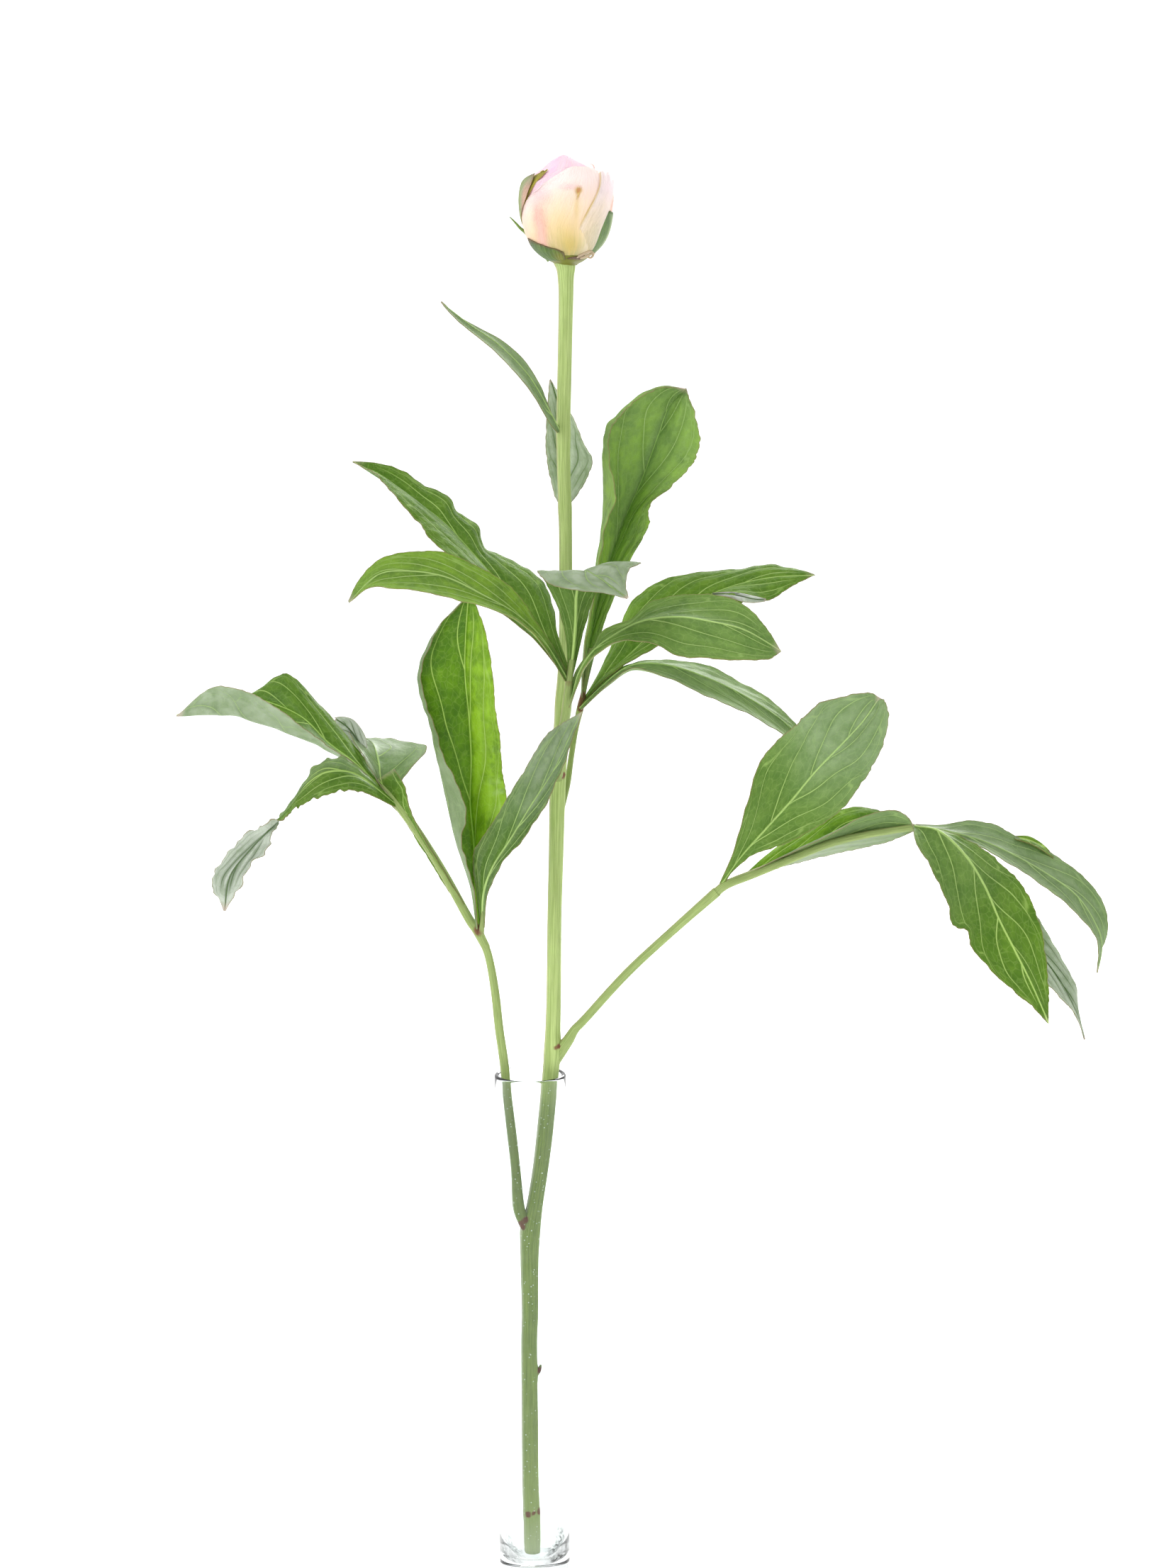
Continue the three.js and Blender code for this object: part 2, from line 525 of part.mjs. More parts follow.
// Half of a blade's cross-section, from beside the rib out to its margin
function halfSection(rib, margin, roll, upperSide) {
  if (roll) {
    return railCurve([rib.toArray(), margin.toArray(), roll.toArray()])
      .getSpacedPoints(rolledHalfSteps).slice(1);
  }
  const width = rib.distanceTo(margin);
  const points = [];
  for (let k = 1; k <= halfBladeSteps; k += 1) {
    const share = k / halfBladeSteps;
    const arch = 4 * share * (1 - share) * halfBladeArch * width;
    points.push(rib.clone().lerp(margin, share).addScaledVector(upperSide, arch));
  }
  return points;
}

// A leaflet's middle surface as rows of points from margin to margin
function bladeRows({ rib, left, right, left_roll: leftRoll, right_roll: rightRoll }) {
  const rails = [rib, left, right].map(railCurve);
  const leftRollLine = leftRoll && railCurve(leftRoll);
  const rightRollLine = rightRoll && railCurve(rightRoll);
  const upperSide = new THREE.Vector3();
  const rows = [];
  for (let i = 0; i <= bladeSteps; i += 1) {
    const place = i / bladeSteps;
    const [middle, leftEdge, rightEdge] = rails.map((rail) => rail.getPoint(place));
    const across = rightEdge.clone().sub(leftEdge);
    if (across.length() > narrowestTip) {
      upperSide.crossVectors(across, rails[0].getTangent(place)).normalize();
    } else {
      across.setLength(narrowestTip / 2);
      leftEdge.copy(middle).sub(across);
      rightEdge.copy(middle).add(across);
    }
    const leftHalf = halfSection(middle, leftEdge, leftRollLine?.getPoint(place), upperSide);
    const rightHalf = halfSection(middle, rightEdge, rightRollLine?.getPoint(place), upperSide);
    rows.push([...leftHalf.reverse(), middle, ...rightHalf]);
  }
  return rows;
}

// A leaflet: its middle surface thickened to both sides
function leaflet(rails) {
  const rows = bladeRows(rails);
  const normal = new THREE.Vector3(0, -1, 0);
  const faces = [bladeThickness / 2, -bladeThickness / 2].map((offset) => rows.map((row, i) => {
    const before = rows[Math.max(i - 1, 0)];
    const after = rows[Math.min(i + 1, bladeSteps)];
    return row.map((point, j) => {
      const along = after[j].clone().sub(before[j]);
      const across = row[Math.min(j + 1, row.length - 1)].clone().sub(row[Math.max(j - 1, 0)]);
      const found = across.cross(along);
      if (found.length() > tiny) {
        normal.copy(found.normalize());
      }
      return point.clone().addScaledVector(normal, offset);
    });
  }));
  return solidBetween(...faces);
}

const joined = (solids) => solids.reduce((whole, piece) => whole.add(piece));

// The piece itself, without loose scraps and slivers and with the hollows between its layers filled.
// A larger loose body, in cubic millimetres, is a part that misses what it grows from.
function mainBody(solid) {
  const bodies = solid.decompose();
  const largest = bodies.reduce((best, body) => (body.volume() > best.volume() ? body : best));
  const loose = bodies.map((body) => body.volume()).filter((size) => size > largestScrap);
  if (loose.length > 1) {
    throw new Error(`a piece fell into separate bodies of ${loose.map(Math.round).join(', ')} mm3`);
  }
  return largest.simplify(smallestDetail);
}

const stemCore = (grow) => stalk(stemLine, stemSides, stemStep, grow);

// Leaves are seated round the stem with a fine gap, so they are cut by a slightly fatter stem
const seatedOnStem = (solids) => mainBody(joined(solids).subtract(stemCore(seatGap)));
const leaf = (stalkLines, leaflets) => seatedOnStem([
  ...stalkLines.map((line) => stalk(line, stalkSides, stalkStep)),
  ...Object.values(leaflets).map(leaflet),
]);
const bract = (rails) => seatedOnStem([leaflet(rails)]);

const stem = () => joined([stemCore(0), stalk(sideBudLine, slimSides, slimStep)]);

// Radius and height of a point that lies a distance outside the bud's profile
const profileCurve = railCurve(budProfile.map(([radius, height]) => [radius, 0, height]));
function budSide(share, distance) {
  const point = profileCurve.getPoint(share);
  const along = profileCurve.getTangent(share);
  return [Math.max(point.x + distance * along.z, 0), point.z - distance * along.x];
}

// A point on the bud: turn round the axis, share of the way up the profile, and distance outward
function onBud(degrees, share, distance) {
  const [radius, height] = budSide(share, distance);
  const turn = THREE.MathUtils.degToRad(degrees);
  return new THREE.Vector3(
    budFoot[0] + (budLean * height) / budHeight + radius * Math.cos(turn),
    budFoot[1] + radius * Math.sin(turn),
    budFoot[2] + height,
  );
}

// The bud's profile moved outward by a distance, from its foot to a closed top
function budSection(distance) {
  const section = [];
  for (let i = 0; i < budSteps; i += 1) {
    section.push(budSide(i / budSteps, distance));
  }
  return [...section, [0, budHeight + distance]];
}

// A solid turned round the bud's axis from a closed profile of radius and height
function budLathe(profile) {
  const turned = new THREE.LatheGeometry(profile.map(([r, h]) => new THREE.Vector2(r, h)), budSides);
  return solidOfGeometry(turned.rotateX(Math.PI / 2).translate(...budFoot));
}

// three.js geometry, with its shared vertices merged, as a solid
function solidOfGeometry(geometry) {
  geometry.deleteAttribute('normal');
  geometry.deleteAttribute('uv');
  const merged = mergeVertices(geometry);
  const points = [];
  const position = merged.getAttribute('position');
  for (let i = 0; i < position.count; i += 1) {
    points.push(new THREE.Vector3().fromBufferAttribute(position, i));
  }
  const triangles = [];
  for (let i = 0; i < merged.index.count; i += 3) {
    const [a, b, c] = [0, 1, 2].map((k) => merged.index.getX(i + k));
    if (a !== b && b !== c && c !== a) {
      triangles.push([a, b, c]);
    }
  }
  return solidOf(points, triangles);
}

// A petal or sepal: a patch of the bud's skin with a rounded or pointed top and a waved rim.
// Its two faces lie at distances from the skin that depend on how far up the patch they are.
function budPatch(patch, foot, [rows, columns], distances, wave) {
  const { angle, halfWidth, reach, lift, flare, point } = patch;
  const faces = distances.map((distance) => {
    const grid = [];
    for (let i = 0; i <= rows; i += 1) {
      grid.push([]);
      const rise = i / rows;
      const width = halfWidth * Math.max(patchTip, (1 - rise ** point) ** (1 / point));
      for (let j = 0; j <= columns; j += 1) {
        const ruffle = wave * (j % 2 ? 1 : -1);
        const spread = distance(rise) + lift + (flare + ruffle) * rise ** 4;
        const turn = angle + width * ((2 * j) / columns - 1);
        grid[i].push(onBud(turn, THREE.MathUtils.lerp(foot, reach, rise), spread));
      }
    }
    return grid;
  });
  return solidBetween(...faces);
}

function budPetals() {
  const heart = budLathe([[0, 0], ...budSection(-heartInset)]);
  const inside = (rise) => -THREE.MathUtils.lerp(petalDepth, petalRim, rise ** 3);
  const layers = petals.map((petal) => budPatch(petal, petalFoot, petalGrid, [() => 0, inside], rimWave));
  return mainBody(joined([heart, ...layers]));
}

function calyx() {
  const cup = cupShares.map((share) => (
    [cupInside + cupWall, cupInside].map((distance) => budSide(share, distance))
  ));
  const receptacle = budLathe([
    [0, -receptacleDrop], [receptacleRadius, -receptacleDrop], ...cup.map((pair) => pair[0]),
    ...cup.reverse().map((pair) => pair[1]), [0, -cupInside],
  ]);
  const outside = sepalInside + sepalThickness;
  const leaves = sepals.map((sepal) => (
    budPatch(sepal, sepalFoot, sepalGrid, [() => outside, () => sepalInside], 0)
  ));
  return mainBody(joined([receptacle, ...leaves, stalk(calyxBractLine, slimSides, calyxBractStep)]));
}

// The vase: outside, lip, inside and the round bottom of the well as one closed profile
function vase() {
  const inner = vaseRadius - vaseWall;
  const lip = vaseWall / 2;
  const well = new THREE.EllipseCurve(
    wellFlat, wellFloor + wellRound, inner - wellFlat, wellRound, 0, -Math.PI / 2, true,
  );
  const foot = new THREE.EllipseCurve(
    vaseRadius - vaseFootRound, vaseFootRound, vaseFootRound, vaseFootRound, -Math.PI / 2, 0, false,
  );
  const rim = new THREE.EllipseCurve(vaseRadius - lip, vaseHeight - lip, lip, lip, 0, Math.PI, false);
  const profile = [
    new THREE.Vector2(0, 0), ...foot.getPoints(footSteps), ...rim.getPoints(lipSteps),
    ...well.getPoints(wellSteps),
    new THREE.Vector2(0, wellFloor),
  ];
  const geometry = new THREE.LatheGeometry(profile, vaseSides).rotateX(Math.PI / 2);
  return solidOfGeometry(geometry);
}

function meshOf(name, solid, look) {
  const { vertProperties, triVerts, numProp } = solid.getMesh();
  const position = new Float32Array((vertProperties.length / numProp) * 3);
  for (let i = 0; i < position.length; i += 1) {
    position[i] = vertProperties[Math.floor(i / 3) * numProp + (i % 3)];
  }
  const geometry = new THREE.BufferGeometry();
  geometry.setAttribute('position', new THREE.BufferAttribute(position, 3));
  geometry.setIndex(new THREE.BufferAttribute(triVerts, 1));
  geometry.computeVertexNormals();
  const mesh = new THREE.Mesh(geometry, new THREE.MeshStandardMaterial({ metalness: 0, ...look }));
  mesh.name = name;
  return mesh;
}

const peony = new THREE.Group();
const leafLook = { color: 0x6f9a45, roughness: 0.45 };
peony.add(
  meshOf('vase', vase(), { color: 0xdfe9e8, roughness: 0.03, transparent: true, opacity: 0.3 }),
  meshOf('stem', stem(), { color: 0x93b062, roughness: 0.4 }),
  meshOf('leaf_left', leaf([leftPetioleLine, leftRachisLine, leftInnerStalkLine], leftLeaflets), leafLook),
  meshOf('leaf_right', leaf([rightPetioleLine, rightRachisLine, rightRearStalkLine], rightLeaflets), leafLook),
  meshOf('leaf_front', leaf([frontPetioleLine], frontLeaflets), leafLook),
  meshOf('leaf_back', leaf([backPetioleLine, backTallStalkLine], backLeaflets), leafLook),
  meshOf('bract_left', bract(bracts.upper_left_bract), leafLook),
  meshOf('bract_back', bract(bracts.upper_back_bract), leafLook),
  meshOf('calyx', calyx(), { color: 0x7d9c62, roughness: 0.5 }),
  meshOf('bud_petals', budPetals(), { color: 0xfbe6d2, roughness: 0.55 }),
);

export default peony;
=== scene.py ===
# %% [markdown]
# # A peony bud in a bud vase
# A cut peony stands in a slim glass tube. Its bud is still closed, and four compound leaves and two
# bracts grow from the stem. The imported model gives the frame, in metres, with +Z up and the origin at
# the centre of the vase's foot. The plant's lengths are in millimetres until a mesh is made, and the
# room's lengths and the places that finishes read are in metres.

import math

import bpy
import numpy as np
from mathutils import Matrix, Vector


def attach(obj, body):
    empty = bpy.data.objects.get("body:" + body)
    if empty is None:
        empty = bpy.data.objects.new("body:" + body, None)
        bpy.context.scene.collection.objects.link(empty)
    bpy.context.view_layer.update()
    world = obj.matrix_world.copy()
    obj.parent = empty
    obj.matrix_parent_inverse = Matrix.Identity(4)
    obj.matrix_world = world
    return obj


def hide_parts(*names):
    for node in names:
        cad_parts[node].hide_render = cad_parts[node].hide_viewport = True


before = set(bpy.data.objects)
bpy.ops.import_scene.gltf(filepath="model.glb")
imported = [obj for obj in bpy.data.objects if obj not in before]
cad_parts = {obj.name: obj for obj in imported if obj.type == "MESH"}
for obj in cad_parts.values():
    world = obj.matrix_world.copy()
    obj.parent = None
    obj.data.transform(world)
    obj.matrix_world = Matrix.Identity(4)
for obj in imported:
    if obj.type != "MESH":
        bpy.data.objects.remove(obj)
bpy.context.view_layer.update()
MM = 0.001

# %% [markdown]
# ## Camera
# A long lens looks slightly down on the plant from about a metre and a half away, so the tube's lip
# shows as a flat oval. A camera can be placed by eye, but here its dip was worked out from that oval
# and from how far the tube's sides lean in, because every leaf was then measured through it. The frame
# is taller than wide, so the sensor's 36 mm span its height.

# %% Camera
PHOTO_TALL = 2212
FOCAL_PIXELS = 4950
SENSOR = 36.0
PITCH = math.radians(8.58)
ROLL = math.radians(0.40)
CAMERA_AT = Vector((25.656, -1468.4, 569.288)) * MM
NEAREST = 0.05
FURTHEST = 50


def look_down(pitch, roll):
    """Axes of a camera that looks along +Y, dips by the pitch and then rolls round its own line of sight."""
    forward = Vector((0, math.cos(pitch), -math.sin(pitch)))
    level = Vector((1, 0, 0))
    upright = Vector((0, math.sin(pitch), math.cos(pitch)))
    right = math.cos(roll) * level - math.sin(roll) * upright
    up = math.sin(roll) * level + math.cos(roll) * upright
    return Matrix((right, up, -forward)).transposed().to_4x4()


camera = bpy.data.objects.new("camera", bpy.data.cameras.new("camera"))
camera.data.sensor_width = SENSOR
camera.data.lens = SENSOR * FOCAL_PIXELS / PHOTO_TALL
camera.data.clip_start = NEAREST
camera.data.clip_end = FURTHEST
camera.matrix_world = Matrix.Translation(CAMERA_AT) @ look_down(PITCH, ROLL)
bpy.context.scene.collection.objects.link(camera)
bpy.context.scene.camera = camera
print("camera lens", round(camera.data.lens, 2), "mm")

# %% [markdown]
# ## Shader sums
# Nodes can be linked one by one, but a finish is easier to read as a sum. `Value` wraps a socket, and
# each operator on it adds one Math node. `Finish` is a material, and its `node` method adds any other
# node.


# %% Values and finishes
class Value:
    """A shader socket in Python arithmetic: every operator adds a Math node to the socket's tree."""

    def __init__(self, tree, socket):
        self.tree = tree
        self.socket = socket

    def math(self, operation, *others):
        node = self.tree.nodes.new("ShaderNodeMath")
        node.operation = operation
        for slot, item in zip(node.inputs, (self, *others)):
            plug(self.tree, slot, item)
        return Value(self.tree, node.outputs[0])

    def __add__(self, other):
        return self.math("ADD", other)

    def __mul__(self, other):
        return self.math("MULTIPLY", other)

    def __sub__(self, other):
        return self.math("SUBTRACT", other)

    def __rsub__(self, other):
        return self.math("MULTIPLY_ADD", -1.0, other)

    def __pow__(self, other):
        return self.math("POWER", other)

    def __abs__(self):
        return self.math("ABSOLUTE")

    __radd__ = __add__
    __rmul__ = __mul__


def plug(tree, slot, item):
    """Links a value to a socket, or sets the socket where the item is a plain number or a colour."""
    if isinstance(item, Value):
        tree.links.new(item.socket, slot)
    else:
        slot.default_value = item


def seen(red, green, blue):
    """A colour as the eye reads it on a screen, turned into the linear light that shaders use: c / 12.92
    for the darkest tones, and ((c + 0.055) / 1.055)^2.4 for the others."""
    linear = [c / 12.92 if c <= 0.04045 else ((c + 0.055) / 1.055) ** 2.4 for c in (red, green, blue)]
    return (*linear, 1.0)


class Finish:
    """A material with one method that adds a node: its type, its settings, then its sockets."""

    def __init__(self, name):
        self.material = bpy.data.materials.new(name)
        self.material.use_nodes = True
        self.tree = self.material.node_tree
        self.tree.nodes.clear()

    def node(self, kind, settings, sockets, out=0):
        made = self.tree.nodes.new(kind)
        for key, value in settings.items():
            if key == "stops":
                ramp = made.color_ramp.elements
                for _ in value[2:]:
                    ramp.new(0.5)
                for stop, (place, colour) in zip(ramp, value):
                    stop.position = place
                    stop.color = colour
            else:
                setattr(made, key, value)
        for key, item in sockets.items():
            plug(self.tree, made.inputs[key], item)
        return Value(self.tree, made.outputs[out])

    def attribute(self, name):
        """A mesh attribute as one vector, and as the three numbers that it holds at each point."""
        vector = self.node("ShaderNodeAttribute", {"attribute_name": name}, {}, "Vector")
        return vector, self.parts(vector)

    def parts(self, vector):
        return [self.node("ShaderNodeSeparateXYZ", {}, {0: vector}, axis) for axis in range(3)]

    def place(self):
        return self.node("ShaderNodeTexCoord", {}, {}, "Object")

    def stretched(self, vector, factors):
        """A place with each of its three numbers multiplied by its own factor."""
        return self.node("ShaderNodeVectorMath", {"operation": "MULTIPLY"}, {0: vector, 1: factors})

    def smooth(self, value, low, high):
        """0 below low, 1 above high, with an S-shaped step between them."""
        ends = {"Value": value, "From Min": low, "From Max": high}
        return self.node("ShaderNodeMapRange", {"interpolation_type": "SMOOTHSTEP"}, ends)

    def noise(self, where, scale, detail=3.0):
        return self.node("ShaderNodeTexNoise", {}, {"Vector": where, "Scale": scale, "Detail": detail})

    def blend(self, share, first, second):
        """A colour that goes from first to second as the share goes from 0 to 1."""
        return self.node("ShaderNodeMix", {"data_type": "RGBA"}, {0: share, 6: first, 7: second}, 2)

    def bump(self, height, depth):
        """A normal tilted by a height map whose full range is depth millimetres."""
        return self.node("ShaderNodeBump", {}, {"Height": height, "Distance": depth * MM})

    def skin(self, **settings):
        """A Principled shader whose sockets are named with _ for a space, such as Base_Color."""
        sockets = {key.replace("_", " "): item for key, item in settings.items()}
        return self.node("ShaderNodeBsdfPrincipled", {}, sockets)

    def thin(self, skin, colour, share):
        """A thin skin: a share of the light goes through it and comes out in a colour."""
        glow = self.node("ShaderNodeBsdfTranslucent", {}, {"Color": colour})
        return self.mixed(share, skin, glow)

    def mixed(self, share, first, second):
        return self.node("ShaderNodeMixShader", {}, {0: share, 1: first, 2: second})

    def surface(self, shader):
        output = self.tree.nodes.new("ShaderNodeOutputMaterial")
        self.tree.links.new(shader.socket, output.inputs["Surface"])
        return self.material


print("colour helper:", [round(c, 3) for c in seen(0.5, 0.6, 0.3)])

# %% [markdown]
# ## Floor, light and air
# The plant stands in a bright white room: the light comes from everywhere, and more from behind, which
# is what makes thin leaves glow. A curved backdrop could hide the horizon, but a round floor as bright
# as the room does it with one face. Glass is drawn only by what it bends into view, so the room is
# dimmer in front of the plant than behind it. Sizes here are in metres.

# %% Floor and light
FLOOR_RADIUS = 4.0
FLOOR_SIDES = 96
FLOOR_WHITES = (0.90, 0.90, 0.90, 1), (0.93, 0.93, 0.93, 1)
FLOOR_GLOW = 0.35
ROOM_BEHIND = 1.25
ROOM_IN_FRONT = 0.75
PLANT_MIDDLE = (0, 0, 0.35)


def floor_disc():
    """A flat disc: one many-sided face through the points (R cos t, R sin t, 0)."""
    turn = np.linspace(0, 2 * np.pi, FLOOR_SIDES, endpoint=False)
    ring = np.stack([FLOOR_RADIUS * np.cos(turn), FLOOR_RADIUS * np.sin(turn), 0 * turn], -1)
    mesh = bpy.data.meshes.new("floor")
    mesh.from_pydata(ring.tolist(), [], [list(range(FLOOR_SIDES))])
    floor = bpy.data.objects.new("floor", mesh)
    bpy.context.scene.collection.objects.link(floor)
    return floor


floor = floor_disc()
paper = Finish("floor_paper")
white = paper.blend(paper.noise(paper.place(), 40.0), *FLOOR_WHITES)
sheet = paper.skin(
    Base_Color=white, Roughness=0.8, Emission_Color=(1, 1, 1, 1), Emission_Strength=FLOOR_GLOW
)
floor.data.materials.append(paper.surface(sheet))

world = bpy.data.worlds.new("white_room")
world.use_nodes = True
bpy.context.scene.world = world
room = world.node_tree
room.nodes.clear()


def world_node(kind, sockets, **settings):
    made = room.nodes.new(kind)
    for key, value in settings.items():
        setattr(made, key, value)
    for key, item in sockets.items():
        plug(room, made.inputs[key], item)
    return made


direction = world_node("ShaderNodeTexCoord", {}).outputs["Generated"]
axes = world_node("ShaderNodeSeparateXYZ", {0: Value(room, direction)}).outputs


def ramp(axis, start, end, first, last):
    """The room's brightness goes from first to last as one part of the direction goes from start to end."""
    ends = {"From Min": start, "From Max": end, "To Min": first, "To Max": last}
    sockets = {"Value": Value(room, axes[axis]), **ends}
    return Value(room, world_node("ShaderNodeMapRange", sockets, interpolation_type="SMOOTHSTEP").outputs[0])


shade = ramp("Y", -0.9, 0.75, ROOM_IN_FRONT, ROOM_BEHIND)
air = world_node("ShaderNodeBackground", {"Color": (1, 1, 1, 1), "Strength": shade})
world_node("ShaderNodeOutputWorld", {"Surface": Value(room, air.outputs[0])})


def soft_light(name, place, size, power):
    """A square lamp of a size in metres and a power in watts that shines at the plant's middle."""
    lamp = bpy.data.lights.new(name, "AREA")
    lamp.size = size
    lamp.energy = power
    holder = bpy.data.objects.new(name, lamp)
    place = Vector(place)
    toward = (place - Vector(PLANT_MIDDLE)).to_track_quat("Z", "Y").to_matrix().to_4x4()
    holder.matrix_world = Matrix.Translation(place) @ toward
    bpy.context.scene.collection.objects.link(holder)


soft_light("key_from_the_left", (-1.3, -1.0, 1.7), size=0.9, power=16)
soft_light("glow_from_behind", (0.5, 1.5, 1.2), size=1.0, power=30)
bpy.context.scene.view_settings.view_transform = "Standard"

# %% [markdown]
# ## Curves and meshes
# Every leaf edge, rib and stalk is a smooth curve through a few points. A Bezier curve would need two
# handles a point. A Catmull-Rom curve just passes through all of them, and the solids of the packed
# model use the same one, so looks and solids agree.

# %% Curves and meshes
SHARP_ANGLE = math.radians(60)


def spline(a, b, c, d, w):
    """The Catmull-Rom cubic from b, at w = 0, to c, at w = 1, which leaves b along c - a and reaches c
    along d - b."""
    return 0.5 * (2 * b + (c - a) * w + (2 * a - 5 * b + 4 * c - d) * w**2 + (3 * b - a - 3 * c + d) * w**3)


def rail(points, where):
    """The Catmull-Rom curve through the points at places from 0 to 1, with the same share for each span."""
    p = np.asarray(points, float)
    p = np.vstack([2 * p[0] - p[1], p, 2 * p[-1] - p[-2]])
    place = np.asarray(where, float) * (len(p) - 3)
    span = np.minimum(place.astype(int), len(p) - 4)
    return spline(p[span], p[span + 1], p[span + 2], p[span + 3], (place - span)[:, None])


def unit(vectors):
    """Each vector divided by its own length."""
    return vectors / np.maximum(np.linalg.norm(vectors, axis=-1, keepdims=True), 1e-9)


def smooth_step(value, low, high):
    """0 below low, 1 above high, and 3t^2 - 2t^3 between them."""
    t = np.clip((value - low) / (high - low), 0, 1)
    return t * t * (3 - 2 * t)


def grid_faces(rows, columns, around=False):
    """Four-sided faces between neighbouring rows and columns; around joins the last column to the first."""
    i, j = np.meshgrid(np.arange(rows - 1), np.arange(columns if around else columns - 1), indexing="ij")
    k = (j + 1) % columns
    here, above = i * columns, (i + 1) * columns
    return np.stack([here + j, here + k, above + k, above + j], -1).reshape(-1, 4)


def shell(upper, lower):
    """Points and faces of the closed solid between two grids: both grids, and a rim round their edges."""
    rows, columns = upper.shape[:2]
    size = rows * columns
    top = grid_faces(rows, columns)
    ids = np.arange(size).reshape(rows, columns)
    loop = np.concatenate([ids[0], ids[1:, -1], ids[-1, -2::-1], ids[-2:0:-1, 0]])
    after = np.roll(loop, -1)
    rim = np.stack([loop, loop + size, after + size, after], -1)
    points = np.concatenate([upper.reshape(-1, 3), lower.reshape(-1, 3)])
    return points, np.concatenate([top, top[:, ::-1] + size, rim])


def both_faces(upper, lower=None):
    """Three numbers for each point of a shell's upper grid, and then of its lower one."""
    lower = upper if lower is None else lower
    return np.concatenate([upper.reshape(-1, 3), lower.reshape(-1, 3)])


class Patchwork:
    """Collects points, faces and point attributes of several surfaces that become one mesh."""

    def __init__(self):
        self.points, self.faces, self.slots, self.data = [], [], [], {}
        self.count = 0

    def add(self, points, faces, slot=0, **attributes):
        """Adds a surface. Where it, or an earlier one, lacks an attribute, that attribute is 0."""
        self.points.append(points)
        self.faces.append(faces + self.count)
        self.slots.append(np.full(len(faces), slot))
        for name in sorted(set(self.data) | set(attributes)):
            have = self.data.setdefault(name, [np.zeros((self.count, 3))] if self.count else [])
            have.append(attributes.get(name, np.zeros((len(points), 3))))
        self.count += len(points)

    def mesh(self, name, materials):
        """The mesh in metres, with smooth shading that breaks only at edges sharper than 60 degrees."""
        points = np.concatenate(self.points) * MM
        faces = np.concatenate(self.faces)
        mesh = bpy.data.meshes.new(name)
        mesh.vertices.add(len(points))
        mesh.vertices.foreach_set("co", points.astype(np.float32).ravel())
        mesh.loops.add(faces.size)
        mesh.loops.foreach_set("vertex_index", faces.astype(np.int32).ravel())
        mesh.polygons.add(len(faces))
        mesh.polygons.foreach_set("loop_start", np.arange(0, faces.size, 4, dtype=np.int32))
        for material in materials:
            mesh.materials.append(material)
        mesh.polygons.foreach_set("material_index", np.concatenate(self.slots).astype(np.int32))
        for key, values in self.data.items():
            held = mesh.attributes.new(key, "FLOAT_VECTOR", "POINT")
            held.data.foreach_set("vector", np.concatenate(values).astype(np.float32).ravel())
        mesh.update(calc_edges=True)
        mesh.validate()
        mesh.polygons.foreach_set("use_smooth", np.ones(len(mesh.polygons), bool))
        mesh.set_sharp_from_angle(angle=SHARP_ANGLE)
        return mesh


def piece(name, patchwork, materials, node):
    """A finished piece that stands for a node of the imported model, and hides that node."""
    thing = bpy.data.objects.new(name, patchwork.mesh(name, materials))
    bpy.context.scene.collection.objects.link(thing)
    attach(thing, "root")
    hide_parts(node)
    points = np.concatenate(patchwork.points)
    low, high = points.min(0).round(1), points.max(0).round(1)
    print(name, "has", len(thing.data.polygons), "faces, from", low, "to", high)


print("a point halfway along a bent rail:", rail([[0, 0, 0], [1, 1, 0], [2, 0, 0]], [0.5])[0])

# %% [markdown]
# ## The measured plant
# Each leaflet is held by its rib and its two margins, from base to tip, in millimetres, with left and
# right as seen on the upper side with the tip up. A roll is a margin that curls over the blade. A flat
# outline bent by modifiers would be shorter to write, but rails in space keep each twist and droop
# where it belongs. A stalk's points are x, y, z and radius.

